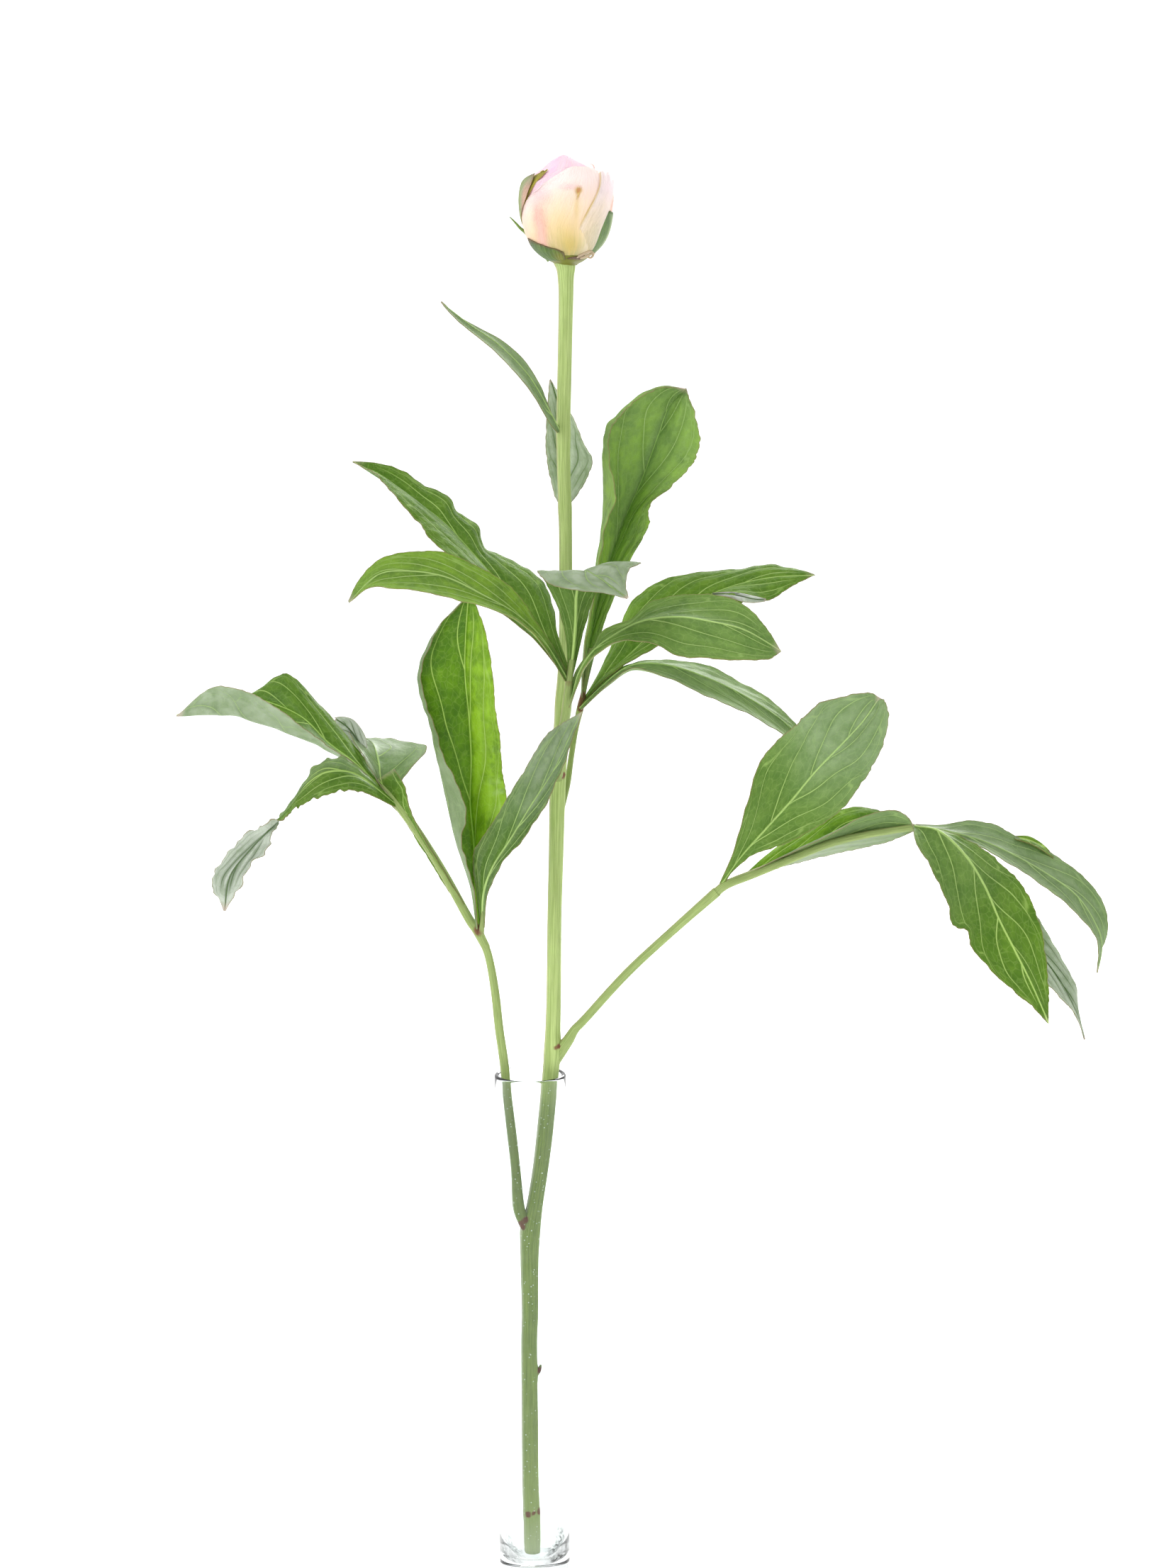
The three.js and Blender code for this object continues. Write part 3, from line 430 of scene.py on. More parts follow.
# %% Stalks and leaflets
STALKS = {
    "stem": [
        [-1, 0, 6, 3.6], [-1, 0, 21, 3.71], [-1.5, 0, 40, 3.6], [-1.5, 0, 66, 3.6],
        [-1.5, 0, 101, 3.49], [-1, 0, 117, 3.6], [-1, 0, 139, 3.92], [-0.5, 0, 152, 4.25],
        [1.5, 0, 164.5, 3.49], [4, 0, 180, 3.38], [6, 0, 195.5, 3.49], [8, 0, 214.5, 3.49],
        [9.5, 0, 230, 3.49], [10, 0, 242.5, 3.27], [10.5, 0, 258, 3.16], [11, 0, 288.5, 3.05],
        [12, 0, 319, 3.16], [13, 0, 349.5, 3.38], [15, 0, 377, 3.16], [16.5, 0, 401, 2.94],
        [17, 0, 425, 2.83], [17, 0, 440, 2.73], [17, 0, 457.5, 2.73], [16.5, 0, 481.5, 2.83],
        [16.5, 0, 499, 2.94], [17, 0, 516.5, 2.94], [17.5, 0, 534, 2.94], [18, 0, 551.5, 3.05],
        [18, 0, 560, 3.38], [18, 0, 564, 4.03], [17.5, 0, 567, 4.69],
    ],
    "left_petiole": [
        [-0.5, -1.5, 150.5, 1.95], [-3.5, -1.5, 158, 2.44], [-5.5, -1.5, 165, 2.56],
        [-6.5, -1.5, 180.5, 2.07], [-8, -1.5, 196, 2.07], [-10, -1.5, 215, 1.95],
        [-11, -2, 227.5, 1.95], [-13, -2.5, 243, 1.89], [-14.5, -4, 259, 1.83], [-17, -5, 274.5, 1.71],
        [-20.5, -6.5, 284.5, 1.83],
    ],
    "left_rachis": [
        [-18, -5.5, 278.5, 1.82], [-22, -6, 286.5, 2.1], [-25.5, -5, 291.5, 1.96],
        [-35, -3, 309, 1.89], [-43.5, -1, 323, 1.82], [-52, 2, 335, 1.96], [-58, 4.5, 342, 1.68],
        [-62, 7, 346.5, 1.4],
    ],
    "front_petiole": [
        [13, -1, 347.5, 1.6], [14, -6.5, 359.5, 1.9], [15.5, -11, 372.5, 2], [17, -16, 382, 2],
        [18, -19, 392.5, 1.6], [19.5, -22.5, 403.5, 1.1],
    ],
    "back_petiole": [
        [14.5, 1.5, 337.5, 1.3], [17, 5, 347.5, 1.3], [18.5, 7.5, 357.5, 1.2], [20.5, 9, 369.5, 1.2],
        [22.5, 9, 378.5, 1.5], [24, 9.5, 384.5, 1.3],
    ],
    "back_tall_stalk": [
        [22.5, 9, 379.5, 1.2], [24, 9, 385.5, 1.1], [25.5, 11, 393.5, 1], [27, 13.5, 404, 0.8],
    ],
    "right_petiole": [
        [10, 0, 227, 2.53], [13.5, -0.5, 233, 2.76], [16.5, -2, 237.5, 2.42], [19.5, -3, 242.5, 1.95],
        [24, -4.5, 247.5, 1.84], [42, -10, 268.5, 1.84], [61.5, -14, 287.5, 1.84],
        [79.5, -18.5, 304.5, 2.18],
    ],
    "right_rachis": [
        [77.5, -18, 302.5, 1.88], [83.5, -19, 307.5, 1.88], [94.5, -19.5, 312, 1.88],
        [109.5, -22, 318.5, 1.75], [126, -24.5, 325.5, 1.62], [142, -28.5, 330, 1.5],
        [161, -32, 333.5, 1.38],
    ],
    "left_inner_stalk": [
        [-20.5, -6.3, 283.5, 1.4], [-19.8, -8.6, 287.5, 1.2], [-19, -11, 295.5, 0.6],
    ],
    "right_rear_stalk": [
        [159.5, -31.7, 333.3, 1.3], [161.5, -30.5, 333.3, 1.2], [166, -28.3, 330, 0.6],
    ],
}
LEAFLETS = {
    "left_side_leaflet": {
        "rib": [
            [-60, 6.5, 343.5], [-73, 13, 355], [-85.5, 19.5, 363.5], [-96, 25.5, 373],
            [-107.5, 32, 378], [-122.5, 39, 381], [-138.5, 45, 378.5], [-153.5, 49, 372],
        ],
        "left": [
            [-61.5, 5.5, 343], [-73.5, 5.5, 355], [-85.5, 7, 362], [-98, 9.5, 367.5],
            [-113.5, 15.5, 372], [-126, 24.5, 374.5], [-139.5, 36, 373.5], [-153.5, 49, 371.5],
        ],
        "left_roll": [
            [-61, 4, 344], [-72.5, 2.5, 356], [-84, 1.5, 364.5], [-92, 2, 370.5], [-105.5, 6, 380],
            [-118.5, 14, 386], [-135.5, 29, 386.5], [-153, 49, 372],
        ],
        "right": [
            [-59, 7.5, 345], [-66.5, 16.5, 351.5], [-76.5, 25.5, 364], [-87.5, 33, 375.5],
            [-101, 39.5, 389], [-109, 42.5, 389.5], [-122, 45, 379.5], [-137.5, 48.5, 379],
            [-153, 50.5, 372],
        ],
    },
    "left_drooping_leaflet": {
        "rib": [
            [-56.5, 1.5, 340], [-71.5, -2.5, 352.5], [-83, -8, 355], [-92, -12.5, 350.5],
            [-102.5, -15, 337.5], [-115, -17.5, 324.5], [-124.5, -18, 312.5], [-127.5, -17.5, 297.5],
        ],
        "left": [
            [-56, -1, 338.5], [-70.5, -8, 346.5], [-83.5, -13, 346], [-94.5, -17, 342],
            [-103, -20, 337], [-118.5, -13, 329], [-132.5, -12.5, 312], [-128, -17.5, 297.5],
        ],
        "right": [
            [-58, 3.5, 341.5], [-71.5, 1, 355], [-83, -1.5, 360.5], [-91, -6, 353.5], [-102, -10, 338],
            [-108.5, -21.5, 326], [-118, -23.5, 313.5], [-127, -17.5, 297.5],
        ],
    },
    "left_end_leaflet": {
        "rib": [
            [-55.5, 4, 339], [-62, 8, 347.5], [-63.5, 15, 354.5], [-66.5, 27, 361], [-71.5, 42, 361.5],
            [-77.5, 57.5, 357],
        ],
        "left": [
            [-52.5, 3.5, 338], [-51.5, 4.5, 342.5], [-53, 7.5, 350], [-43, 18, 361], [-56, 35, 362],
            [-69.5, 52, 361], [-77, 57.5, 357],
        ],
        "right": [
            [-56.5, 3, 340.5], [-65, 6, 350.5], [-70, 16, 358], [-77.5, 30.5, 366], [-84, 46, 371],
            [-81, 58.5, 363], [-77.5, 57.5, 356.5],
        ],
    },
    "left_upright_leaflet": {
        "rib": [
            [-21, -6, 287], [-22.5, -3.5, 305], [-23, 2, 322], [-24.5, 7.5, 339.5], [-24, 12.5, 357],
            [-25, 17, 375], [-26.5, 20, 393], [-26, 21, 409.5], [-24.5, 20.5, 427],
        ],
        "left": [
            [-22, -7.5, 287], [-24.5, -6.5, 305], [-30, -3, 322.5], [-34.5, 1, 341], [-38, 7, 358],
            [-41.5, 12.5, 375.5], [-46, 19, 391.5], [-39.5, 21.5, 409], [-24.5, 21, 427],
        ],
        "left_roll": [
            [-21.5, -10, 287.5], [-23, -12, 306.5], [-27.5, -12.5, 323.5], [-26, -10, 340.5],
            [-34, -4.5, 358], [-40.5, 7.5, 375.5], [-45, 16, 391.5], [-39, 18.5, 410],
            [-24.5, 19.5, 426.5],
        ],
        "right": [
            [-20, -6.5, 287.5], [-19.5, -5, 305], [-15, -3.5, 323], [-9, 0, 340.5], [-10.5, 4, 351.5],
            [-11.5, 8, 365.5], [-13.5, 10.5, 380], [-15, 13.5, 398], [-18.5, 17, 414.5],
            [-23.5, 20.5, 427],
        ],
    },
    "left_inner_leaflet": {
        "rib": [
            [-19.5, -9, 288], [-18.5, -13, 303], [-14.5, -18, 315], [-6.5, -22, 328],
            [2.5, -24.5, 343], [11, -27.5, 356.5], [17.5, -28.5, 370], [23, -27.5, 382],
        ],
        "left": [
            [-18.5, -9.5, 288], [-17, -14.5, 302.5], [-11, -22, 317], [-2, -28.5, 328.5],
            [7, -34, 342.5], [13.5, -35, 356], [18.5, -34, 369], [23.5, -27.5, 382],
        ],
        "right": [
            [-20, -9, 288], [-22, -10, 305.5], [-23, -9.5, 319.5], [-16, -11, 331], [-8, -14.5, 344.5],
            [0, -18, 358], [8.5, -23.5, 372], [16.5, -26, 378], [23, -27.5, 382],
        ],
    },
    "front_low_left_leaflet": {
        "rib": [
            [17.5, -19.5, 394.5], [7, -25.5, 412], [-3.5, -32, 423], [-16, -37, 431],
            [-32, -41.5, 439.5], [-48, -46.5, 442.5], [-59.5, -51, 441], [-70.5, -53, 430.5],
        ],
        "left": [
            [18.5, -19, 395.5], [10.5, -21, 410.5], [4.5, -24, 419.5], [-0.5, -25.5, 428],
            [-8.5, -27, 436.5], [-20, -30.5, 443.5], [-32, -33.5, 449], [-44.5, -38.5, 450],
            [-57, -43, 448], [-66, -48, 440.5], [-71, -51, 431],
        ],
        "right": [
            [16.5, -21, 394], [7.5, -32, 410.5], [-0.5, -40, 420], [-13, -46.5, 427], [-26, -51, 431],
            [-39.5, -56, 435], [-53, -59, 437], [-62.5, -59, 437], [-70.5, -53, 430.5],
        ],
    },
    "front_high_left_leaflet": {
        "rib": [
            [18, -19, 395], [8.5, -9.5, 410], [-2, -3, 423], [-12.5, 3, 434.5], [-23, 8, 446],
            [-32.5, 13, 456], [-42.5, 16, 464], [-56.5, 19, 473], [-73, 21, 483.5],
        ],
        "left": [
            [17.5, -20, 394], [4.5, -19, 410.5], [-10.5, -17.5, 423.5], [-23, -14.5, 435],
            [-33.5, -9.5, 447], [-41, -6.5, 454.5], [-44, -3, 459], [-51.5, 0, 466.5],
            [-58.5, 6.5, 474.5], [-64.5, 13, 479.5], [-73, 21, 483],
        ],
        "right": [
            [19, -18.5, 396.5], [13, -5, 413], [12, 3, 421], [8.5, 11, 430], [2, 16, 437],
            [-8.5, 19, 442], [-17.5, 19, 447], [-20.5, 21, 455.5], [-28.5, 22.5, 461.5],
            [-33, 24, 468], [-42.5, 24, 472.5], [-49.5, 24, 477.5], [-60.5, 24, 482], [-73, 21, 483.5],
        ],
    },
    "front_folded_leaflet": {
        "rib": [
            [18, -19.5, 393.5], [20, -24, 407], [21, -29, 419.5], [21.5, -35, 432], [24, -46.5, 442],
            [30, -59, 441], [35.5, -64, 437.5], [42, -65.5, 433],
        ],
        "left": [
            [19.5, -19, 395], [23, -21, 410], [26, -22.5, 421.5], [30, -27, 432.5], [37, -37, 443],
            [47.5, -48, 445.5], [43, -59, 444], [41.5, -64, 438], [42.5, -65.5, 433],
        ],
        "right": [
            [17.5, -19.5, 395], [17, -22.5, 411], [14, -25.5, 424.5], [9.5, -30.5, 435],
            [5.5, -41.5, 442], [10.5, -56, 438], [21, -62.5, 436], [32, -65.5, 435], [42, -65.5, 432.5],
        ],
    },
    "front_right_leaflet": {
        "rib": [
            [19.5, -19, 387], [22.5, -22.5, 397.5], [28, -27, 406.5], [36, -32, 413.5],
            [48, -38.5, 420.5], [62.5, -45, 423], [76.5, -51, 421.5], [89.5, -56, 418.5],
            [104, -61, 410.5],
        ],
        "left": [
            [18, -21, 383], [21, -25.5, 391.5], [25, -32, 401.5], [31.5, -38.5, 409],
            [40.5, -45, 413.5], [52, -51, 413], [63, -57.5, 408.5], [75.5, -62.5, 408],
            [87.5, -65.5, 407.5], [98.5, -65.5, 408], [103.5, -61, 410],
        ],
        "right": [
            [18.5, -17.5, 388.5], [21, -16, 398], [27.5, -14.5, 406.5], [32.5, -14.5, 414.5],
            [44, -16, 419.5], [53, -19, 427], [64.5, -25.5, 430], [77, -33.5, 431], [88.5, -43, 428.5],
            [97.5, -53, 420.5], [104, -61, 410.5],
        ],
    },
    "back_tall_leaflet": {
        "rib": [
            [23.5, 9, 383], [26, 13.5, 401], [29, 18, 417.5], [34.5, 21, 437], [41.5, 22.5, 456.5],
            [49.5, 22.5, 475], [56, 19.5, 492.5], [61, 15, 506], [68, 9, 513.5],
        ],
        "left": [
            [23, 9, 383.5], [24, 9, 401.5], [26.5, 10.5, 418], [29.5, 12, 438.5], [32, 12, 455],
            [33, 12, 471.5], [33.5, 10.5, 489], [37, 9, 499.5], [45.5, 7.5, 508], [56.5, 6, 514.5],
            [67.5, 9, 513.5],
        ],
        "left_roll": [
            [23.5, 7.5, 383.5], [24.5, 6, 401.5], [27, 4.5, 418.5], [30.5, 3, 439.5], [33.5, 0, 455],
            [38, -1.5, 471], [35, 1.5, 487], [37.5, 4.5, 499], [46, 4.5, 508], [57, 4.5, 514],
            [67.5, 7.5, 513.5],
        ],
        "right": [
            [24.5, 9, 383.5], [28, 12, 398], [33, 13.5, 414.5], [38, 15, 427], [45.5, 15, 443.5],
            [52, 13.5, 455.5], [52.5, 12, 464.5], [60.5, 12, 471.5], [69, 10.5, 480], [73, 9, 487.5],
            [73, 7.5, 497.5], [69.5, 7.5, 508.5], [68, 9, 513.5],
        ],
    },
    "back_far_right_leaflet": {
        "rib": [
            [23, 9, 381], [30.5, 12, 390], [43, 18, 400], [55, 24, 410.5], [70.5, 31.5, 420.5],
            [87.5, 37.5, 427.5], [106, 42, 431], [124.5, 45, 431.5],
        ],
        "left": [
            [23.5, 9, 382.5], [28.5, 18, 388.5], [34, 27, 398.5], [39, 34.5, 408], [44.5, 39, 420],
            [53.5, 43.5, 427.5], [69.5, 46.5, 432.5], [88, 49.5, 433.5], [102, 51, 435.5],
            [114, 49.5, 434.5], [124, 45, 432],
        ],
        "right": [
            [23.5, 7.5, 380.5], [33.5, 7.5, 391.5], [45, 10.5, 399], [55.5, 13.5, 404.5],
            [70, 16.5, 409.5], [86.5, 21, 416.5], [95, 25.5, 424], [103, 30, 422], [114.5, 39, 427.5],
            [124, 45, 431.5],
        ],
    },
    "back_right_leaflet": {
        "rib": [
            [22.5, 7.5, 379], [32, 3, 388.5], [44, 0, 397.5], [59, -1.5, 398], [77, 0, 392],
            [95, 3, 382.5], [110, 7.5, 371.5], [125.5, 12, 356],
        ],
        "left": [
            [23, 6, 378.5], [35, -3, 391], [45, -9, 398], [60, -12, 394], [76.5, -12, 386],
            [93, -9, 378.5], [108, -4.5, 369], [119, 3, 360], [125.5, 12, 355.5],
        ],
        "right": [
            [22.5, 9, 380], [31.5, 9, 389], [42.5, 12, 397], [58, 15, 398.5], [76, 18, 396],
            [91.5, 19.5, 388], [105.5, 18, 379.5], [116.5, 15, 368], [126, 12, 356.5],
        ],
    },
    "right_big_leaflet": {
        "rib": [
            [81, -18.5, 307], [89, -25, 320.5], [99, -31, 333], [110, -36.5, 346.5], [119.5, -41, 359],
            [129.5, -44, 370], [138, -45, 379.5], [145, -45, 389.5],
        ],
        "left": [
            [82, -19, 306.5], [86, -22, 313.5], [95, -26, 321.5], [107.5, -29.5, 326.5],
            [120, -31.5, 333.5], [130.5, -34.5, 341.5], [139, -37.5, 353.5], [143, -39.5, 360.5],
            [147.5, -41.5, 371], [149, -43, 382], [147.5, -44, 387.5], [145, -45, 389.5],
        ],
        "right": [
            [80.5, -18.5, 308], [84.5, -27, 319], [88.5, -35.5, 333.5], [91.5, -41.5, 347.5],
            [96, -46, 362.5], [103.5, -48.5, 373], [110.5, -50, 378.5], [113, -51.5, 382],
            [120.5, -51.5, 388], [131.5, -50.5, 391], [140, -48, 392], [145, -45, 389.5],
        ],
    },
    "right_rachis_wing": {
        "rib": [
            [89.5, -17.5, 309.5], [109.5, -20.5, 319], [126, -23.5, 325.5], [142.5, -26.5, 329.5],
            [160.5, -30.5, 333],
        ],
        "left": [
            [90, -17.5, 308.5], [104.5, -18.5, 314], [119, -19.5, 318], [134.5, -22, 322],
            [149.5, -26, 326], [161, -30.5, 331.5],
        ],
        "right": [
            [90, -19, 310.5], [102.5, -23.5, 318], [114, -28, 324], [123, -31, 329],
            [131.5, -33.5, 334], [138.5, -34.5, 338], [146, -34.5, 340.5], [152.5, -34.5, 341],
            [158, -34, 338], [160.5, -33, 334],
        ],
    },
    "right_hanging_leaflet": {
        "rib": [
            [161, -33, 334], [170.5, -41.5, 333], [180, -51, 324.5], [187, -58.5, 313.5],
            [192.5, -63.5, 300.5], [198.5, -67, 288.5], [205, -69.5, 275.5], [212.5, -71, 258.5],
        ],
        "left": [
            [160, -34.5, 334], [160.5, -46, 329], [165.5, -57.5, 320.5], [170.5, -66.5, 310],
            [173, -70.5, 300], [178.5, -73, 297.5], [181, -73.5, 290.5], [191.5, -74, 278],
            [203.5, -73.5, 268], [212, -70.5, 258.5],
        ],
        "right": [
            [161.5, -32, 334.5], [172.5, -36.5, 332.5], [183.5, -42, 329], [193, -47.5, 322.5],
            [202.5, -53.5, 313.5], [208.5, -58, 302], [212, -61.5, 286.5], [213, -65.5, 270.5],
            [212.5, -71, 259],
        ],
    },
    "right_end_leaflet": {
        "rib": [
            [161, -32, 334], [174.5, -30, 331], [189.5, -27.5, 326.5], [204, -25.5, 319.5],
            [217.5, -24, 311.5], [229.5, -23, 302.5], [237.5, -22, 291], [241, -21, 280.5],
            [239.5, -21, 269],
        ],
        "left": [
            [161.5, -33, 333.5], [177, -34.5, 329.5], [190, -35.5, 324.5], [205.5, -35, 315],
            [220, -33.5, 304.5], [232.5, -30.5, 292.5], [239, -24.5, 281.5], [239, -20.5, 269],
        ],
        "right": [
            [161.5, -30.5, 334.5], [173.5, -23.5, 333], [186, -18.5, 334], [197.5, -15.5, 331],
            [206, -14, 326], [214.5, -13, 322.5], [225.5, -13.5, 315.5], [236, -13.5, 307],
            [243, -15, 296], [244, -17.5, 286], [240.5, -19.5, 277.5], [239.5, -21, 269.5],
        ],
    },
    "right_rear_leaflet": {
        "rib": [
            [161.5, -30.5, 333.5], [178, -22.5, 320.5], [195, -19, 302.5], [210.5, -17.5, 283],
            [224, -18, 265], [231.5, -21, 249.5], [234, -22.5, 240.5],
        ],
        "left": [
            [162.5, -29.5, 333.5], [180.5, -16.5, 322], [199, -11.5, 307], [215, -9, 291],
            [224, -10.5, 276], [231, -14, 263], [232, -18, 251.5], [234.5, -22.5, 241],
        ],
        "right": [
            [161.5, -30.5, 333], [174.5, -29, 318.5], [189.5, -28.5, 297.5], [203, -28, 279],
            [215.5, -27.5, 267.5], [225.5, -25, 257], [230.5, -23.5, 250.5], [234, -22.5, 240.5],
        ],
    },
    "upper_left_bract": {
        "rib": [
            [15, -1.5, 496.5], [10, -7.5, 506], [2, -13.5, 520], [-9.5, -19.5, 532.5],
            [-20.5, -24, 540.5], [-33, -27, 550.5],
        ],
        "left": [
            [15.5, 0, 497], [12.5, -4.5, 502], [9.5, -7.5, 510], [6.5, -9, 517], [0.5, -12, 526.5],
            [-9, -15, 535], [-19, -19.5, 540.5], [-27, -24, 545.5], [-32.5, -27, 551],
        ],
        "right": [
            [14, -3, 496], [10.5, -12, 501], [5, -19.5, 511.5], [-2.5, -25.5, 521.5],
            [-11, -28.5, 530.5], [-21, -30, 539], [-27, -30, 544], [-33, -27, 550.5],
        ],
    },
    "upper_back_bract": {
        "rib": [
            [17, 3, 464], [17.5, 9.5, 472], [17.5, 16, 483.5], [16, 19.5, 495], [14, 21, 507],
            [11, 19.5, 517.5],
        ],
        "left": [
            [16, 3, 464.5], [13, 6.5, 468], [10.5, 10.5, 477], [9, 13, 486.5], [9, 16, 497.5],
            [10, 17, 508.5], [10.5, 19.5, 517],
        ],
        "right": [
            [17.5, 3, 464.5], [22, 6.5, 469.5], [26, 10.5, 476], [28.5, 13, 483.5],
            [24.5, 14.5, 491.5], [21, 17, 500.5], [15.5, 19.5, 510], [11, 19.5, 517.5],
        ],
    },
    "left_rachis_wing": {
        "rib": [
            [-22.5, -5, 287], [-31.5, -2.5, 302], [-42, 0, 319.5], [-50.5, 1.5, 333.5],
            [-57.5, 4.5, 342], [-63.5, 7, 349.5],
        ],
        "left": [
            [-23, -4.5, 286.5], [-33, -1.5, 301], [-44, 1.5, 318.5], [-53, 3.5, 333], [-60, 5, 341],
            [-64.5, 7.5, 349],
        ],
        "right": [
            [-22, -6, 287.5], [-29.5, -5.5, 301.5], [-38.5, -4.5, 316.5], [-45.5, -3.5, 328.5],
            [-50, -1.5, 339], [-52, 0.5, 347.5], [-56.5, 5.5, 354],
        ],
    },
    "right_rear_wing": {
        "rib": [
            [90, -16, 309.5], [109.5, -18, 319.5], [126, -21, 326], [142.5, -25, 330],
            [160.5, -30.5, 333],
        ],
        "left": [
            [90, -16, 310], [98.5, -12.5, 317], [108, -8.5, 323.5], [118.5, -7.5, 328.5],
            [126.5, -7.5, 335], [133, -9, 337.5], [141, -11.5, 339], [148, -16.5, 337.5],
            [154, -21.5, 335.5], [160.5, -29, 333.5],
        ],
        "right": [
            [90, -17.5, 309.5], [109.5, -20.5, 319], [126, -23.5, 325.5], [142, -27.5, 329.5],
            [160.5, -32, 333],
        ],
    },
    "left_end_flap": {
        "rib": [
            [-69, 23.5, 357], [-73, 28.5, 362.5], [-77.5, 32, 368], [-83, 33, 372],
        ],
        "left": [
            [-70, 24, 357], [-76.5, 28, 361], [-81.5, 31.5, 365.5], [-83.5, 33, 371.5],
        ],
        "right": [
            [-69, 23.5, 358], [-70, 29, 364.5], [-74.5, 34, 370.5], [-79, 35, 372.5],
            [-83.5, 33, 372.5],
        ],
    },
    "right_end_fold": {
        "rib": [
            [205, -14, 326], [211, -13, 324.5], [216, -13, 322], [219.5, -13, 319],
            [221.5, -13.5, 317.5],
        ],
        "left": [
            [205, -13.5, 326.5], [210.5, -11.5, 326], [215.5, -11.5, 323.5], [219.5, -12.5, 320],
            [221, -13.5, 317.5],
        ],
        "right": [
            [204.5, -16.5, 325.5], [210.5, -16, 323.5], [215.5, -16.5, 321], [219, -15.5, 318.5],
            [221, -15, 317],
        ],
    },
    "back_far_right_curl": {
        "rib": [
            [79.5, 32, 425], [86.5, 29, 425], [92, 25, 424.5], [96.5, 23.5, 423.5], [102, 28.5, 422.5],
        ],
        "left": [
            [79.5, 32.5, 425.5], [86.5, 30, 426], [92, 27.5, 425.5], [97, 26, 424.5], [102.5, 29, 423],
        ],
        "right": [
            [79.5, 31.5, 424.5], [86.5, 26.5, 424], [91.5, 23, 422.5], [96.5, 22, 422],
            [102, 27.5, 422],
        ],
    },
}
print("stalks:", len(STALKS), "and leaflets:", len(LEAFLETS))

# %% [markdown]
# ## Leaf blades
# A peony leaflet is a thin arched blade with its rib in the middle. It could be modelled flat and then
# bent. Here each row of its grid goes from the rib out to both margins on a low arch, or on over the
# margin where that curls, so that every leaflet has the same grid and can take the same veins.

# %% Blades
BLADE_ROWS = 110
HALF_COLUMNS = 20
RIB_CROWDING = 1.25
BLADE_ARCH = 0.07


def curled(rib, margin, roll, place):
    """Points of the Catmull-Rom curve through rib, margin and roll, for each row of a blade at once."""
    first, second = 2 * rib - margin, 2 * roll - margin
    late = (place >= 0.5)[..., None]
    w = (2 * place - (place >= 0.5))[..., None]
    a, b = np.where(late, rib, first), np.where(late, margin, rib)
    c, d = np.where(late, roll, margin), np.where(late, second, roll)
    return spline(a, b, c, d, w)


def half_blade(rib, margin, roll, up):
    """Half a blade from rib to margin: a straight line raised by 4t(1 - t) of an arch, or a curled one."""
    t = np.linspace(0, 1, HALF_COLUMNS + 1) ** RIB_CROWDING
    rib, margin, up = rib[:, None], margin[:, None], up[:, None]
    if roll is None:
        width = np.linalg.norm(margin - rib, axis=-1, keepdims=True)
        return rib + (margin - rib) * t[:, None] + up * (4 * t * (1 - t))[:, None] * BLADE_ARCH * width
    roll = roll[:, None]
    first = np.linalg.norm(margin - rib, axis=-1)
    share = first / np.maximum(first + np.linalg.norm(roll - margin, axis=-1), 1e-6)
    place = np.where(t < share, 0.5 * t / share, 0.5 + 0.5 * (t - share) / np.maximum(1 - share, 1e-6))
    return curled(rib, margin, roll, place)


def blade_grid(leaflet):
    """The middle surface of a leaflet, margin to margin, as rows of points from its base to its tip."""
    s = np.linspace(0, 1, BLADE_ROWS)
    rib, left, right = (rail(leaflet[key], s) for key in ("rib", "left", "right"))
    rolls = [rail(leaflet[key], s) if key in leaflet else None for key in ("left_roll", "right_roll")]
    up = unit(np.cross(right - left, np.gradient(rib, axis=0)))
    halves = half_blade(rib, left, rolls[0], up), half_blade(rib, right, rolls[1], up)
    return np.concatenate([halves[0][:, ::-1], halves[1][:, 1:]], axis=1)


def grid_normals(grid):
    """Unit normals of a grid of points: across times along. A pointed end has no width, so the first and
    the last row take the normals of the rows two further in."""
    normals = np.cross(np.gradient(grid, axis=1), np.gradient(grid, axis=0))
    normals[0], normals[-1] = normals[2], normals[-3]
    return unit(normals)


print("a blade has", BLADE_ROWS, "rows of", 2 * HALF_COLUMNS + 1, "points")

# %% [markdown]
# ## Veins, puffs and waves
# The blade sinks along its rib on the glossy upper side, puffs up a little between its side veins, and
# waves and nicks at its margins. It could be sculpted, but as heights above the middle surface each of
# these is one line. The vein pattern is handed on to the finish as attributes, so that relief and
# colour agree, and the veins stay sharp at any distance without a picture of a leaf.

# %% Relief of a blade
PUFF = 0.32
GROOVE = 0.3
GROOVE_REACH = 0.8
LONG_WAVES = (15, 22)
SHORT_WAVES = (7, 10)
NICK_WAVES = (3.3, 5.1, 11.0)


class BladePlaces:
    """Where each point of a blade's grid lies: a from -1 to 1 across, s from 0 at the base to 1 at the
    tip, and in millimetres across from the rib, along from the base, and half, the width of its own
    half. side is |a|, and body is 1 but for the base and the tip, where it fades to 0."""

    def __init__(self, middle):
        step = np.linalg.norm(np.diff(middle, axis=1), axis=-1)
        reach = np.concatenate([np.zeros((len(middle), 1)), np.cumsum(step, axis=1)], axis=1)
        self.across = reach - reach[:, HALF_COLUMNS : HALF_COLUMNS + 1]
        rib = middle[:, HALF_COLUMNS]
        self.along = np.cumsum(np.linalg.norm(np.diff(rib, axis=0, prepend=rib[:1]), axis=1))[:, None]
        self.half = np.where(self.across < 0, -self.across[:, :1], self.across[:, -1:])
        self.a = self.across / np.maximum(self.half, 1e-6)
        self.a[:, HALF_COLUMNS] = 0
        self.side = np.abs(self.a)
        self.s = np.broadcast_to(np.linspace(0, 1, len(middle))[:, None], self.a.shape)
        self.body = smooth_step(self.s, 0.04, 0.22) * (1 - smooth_step(self.s, 0.9, 1.0))


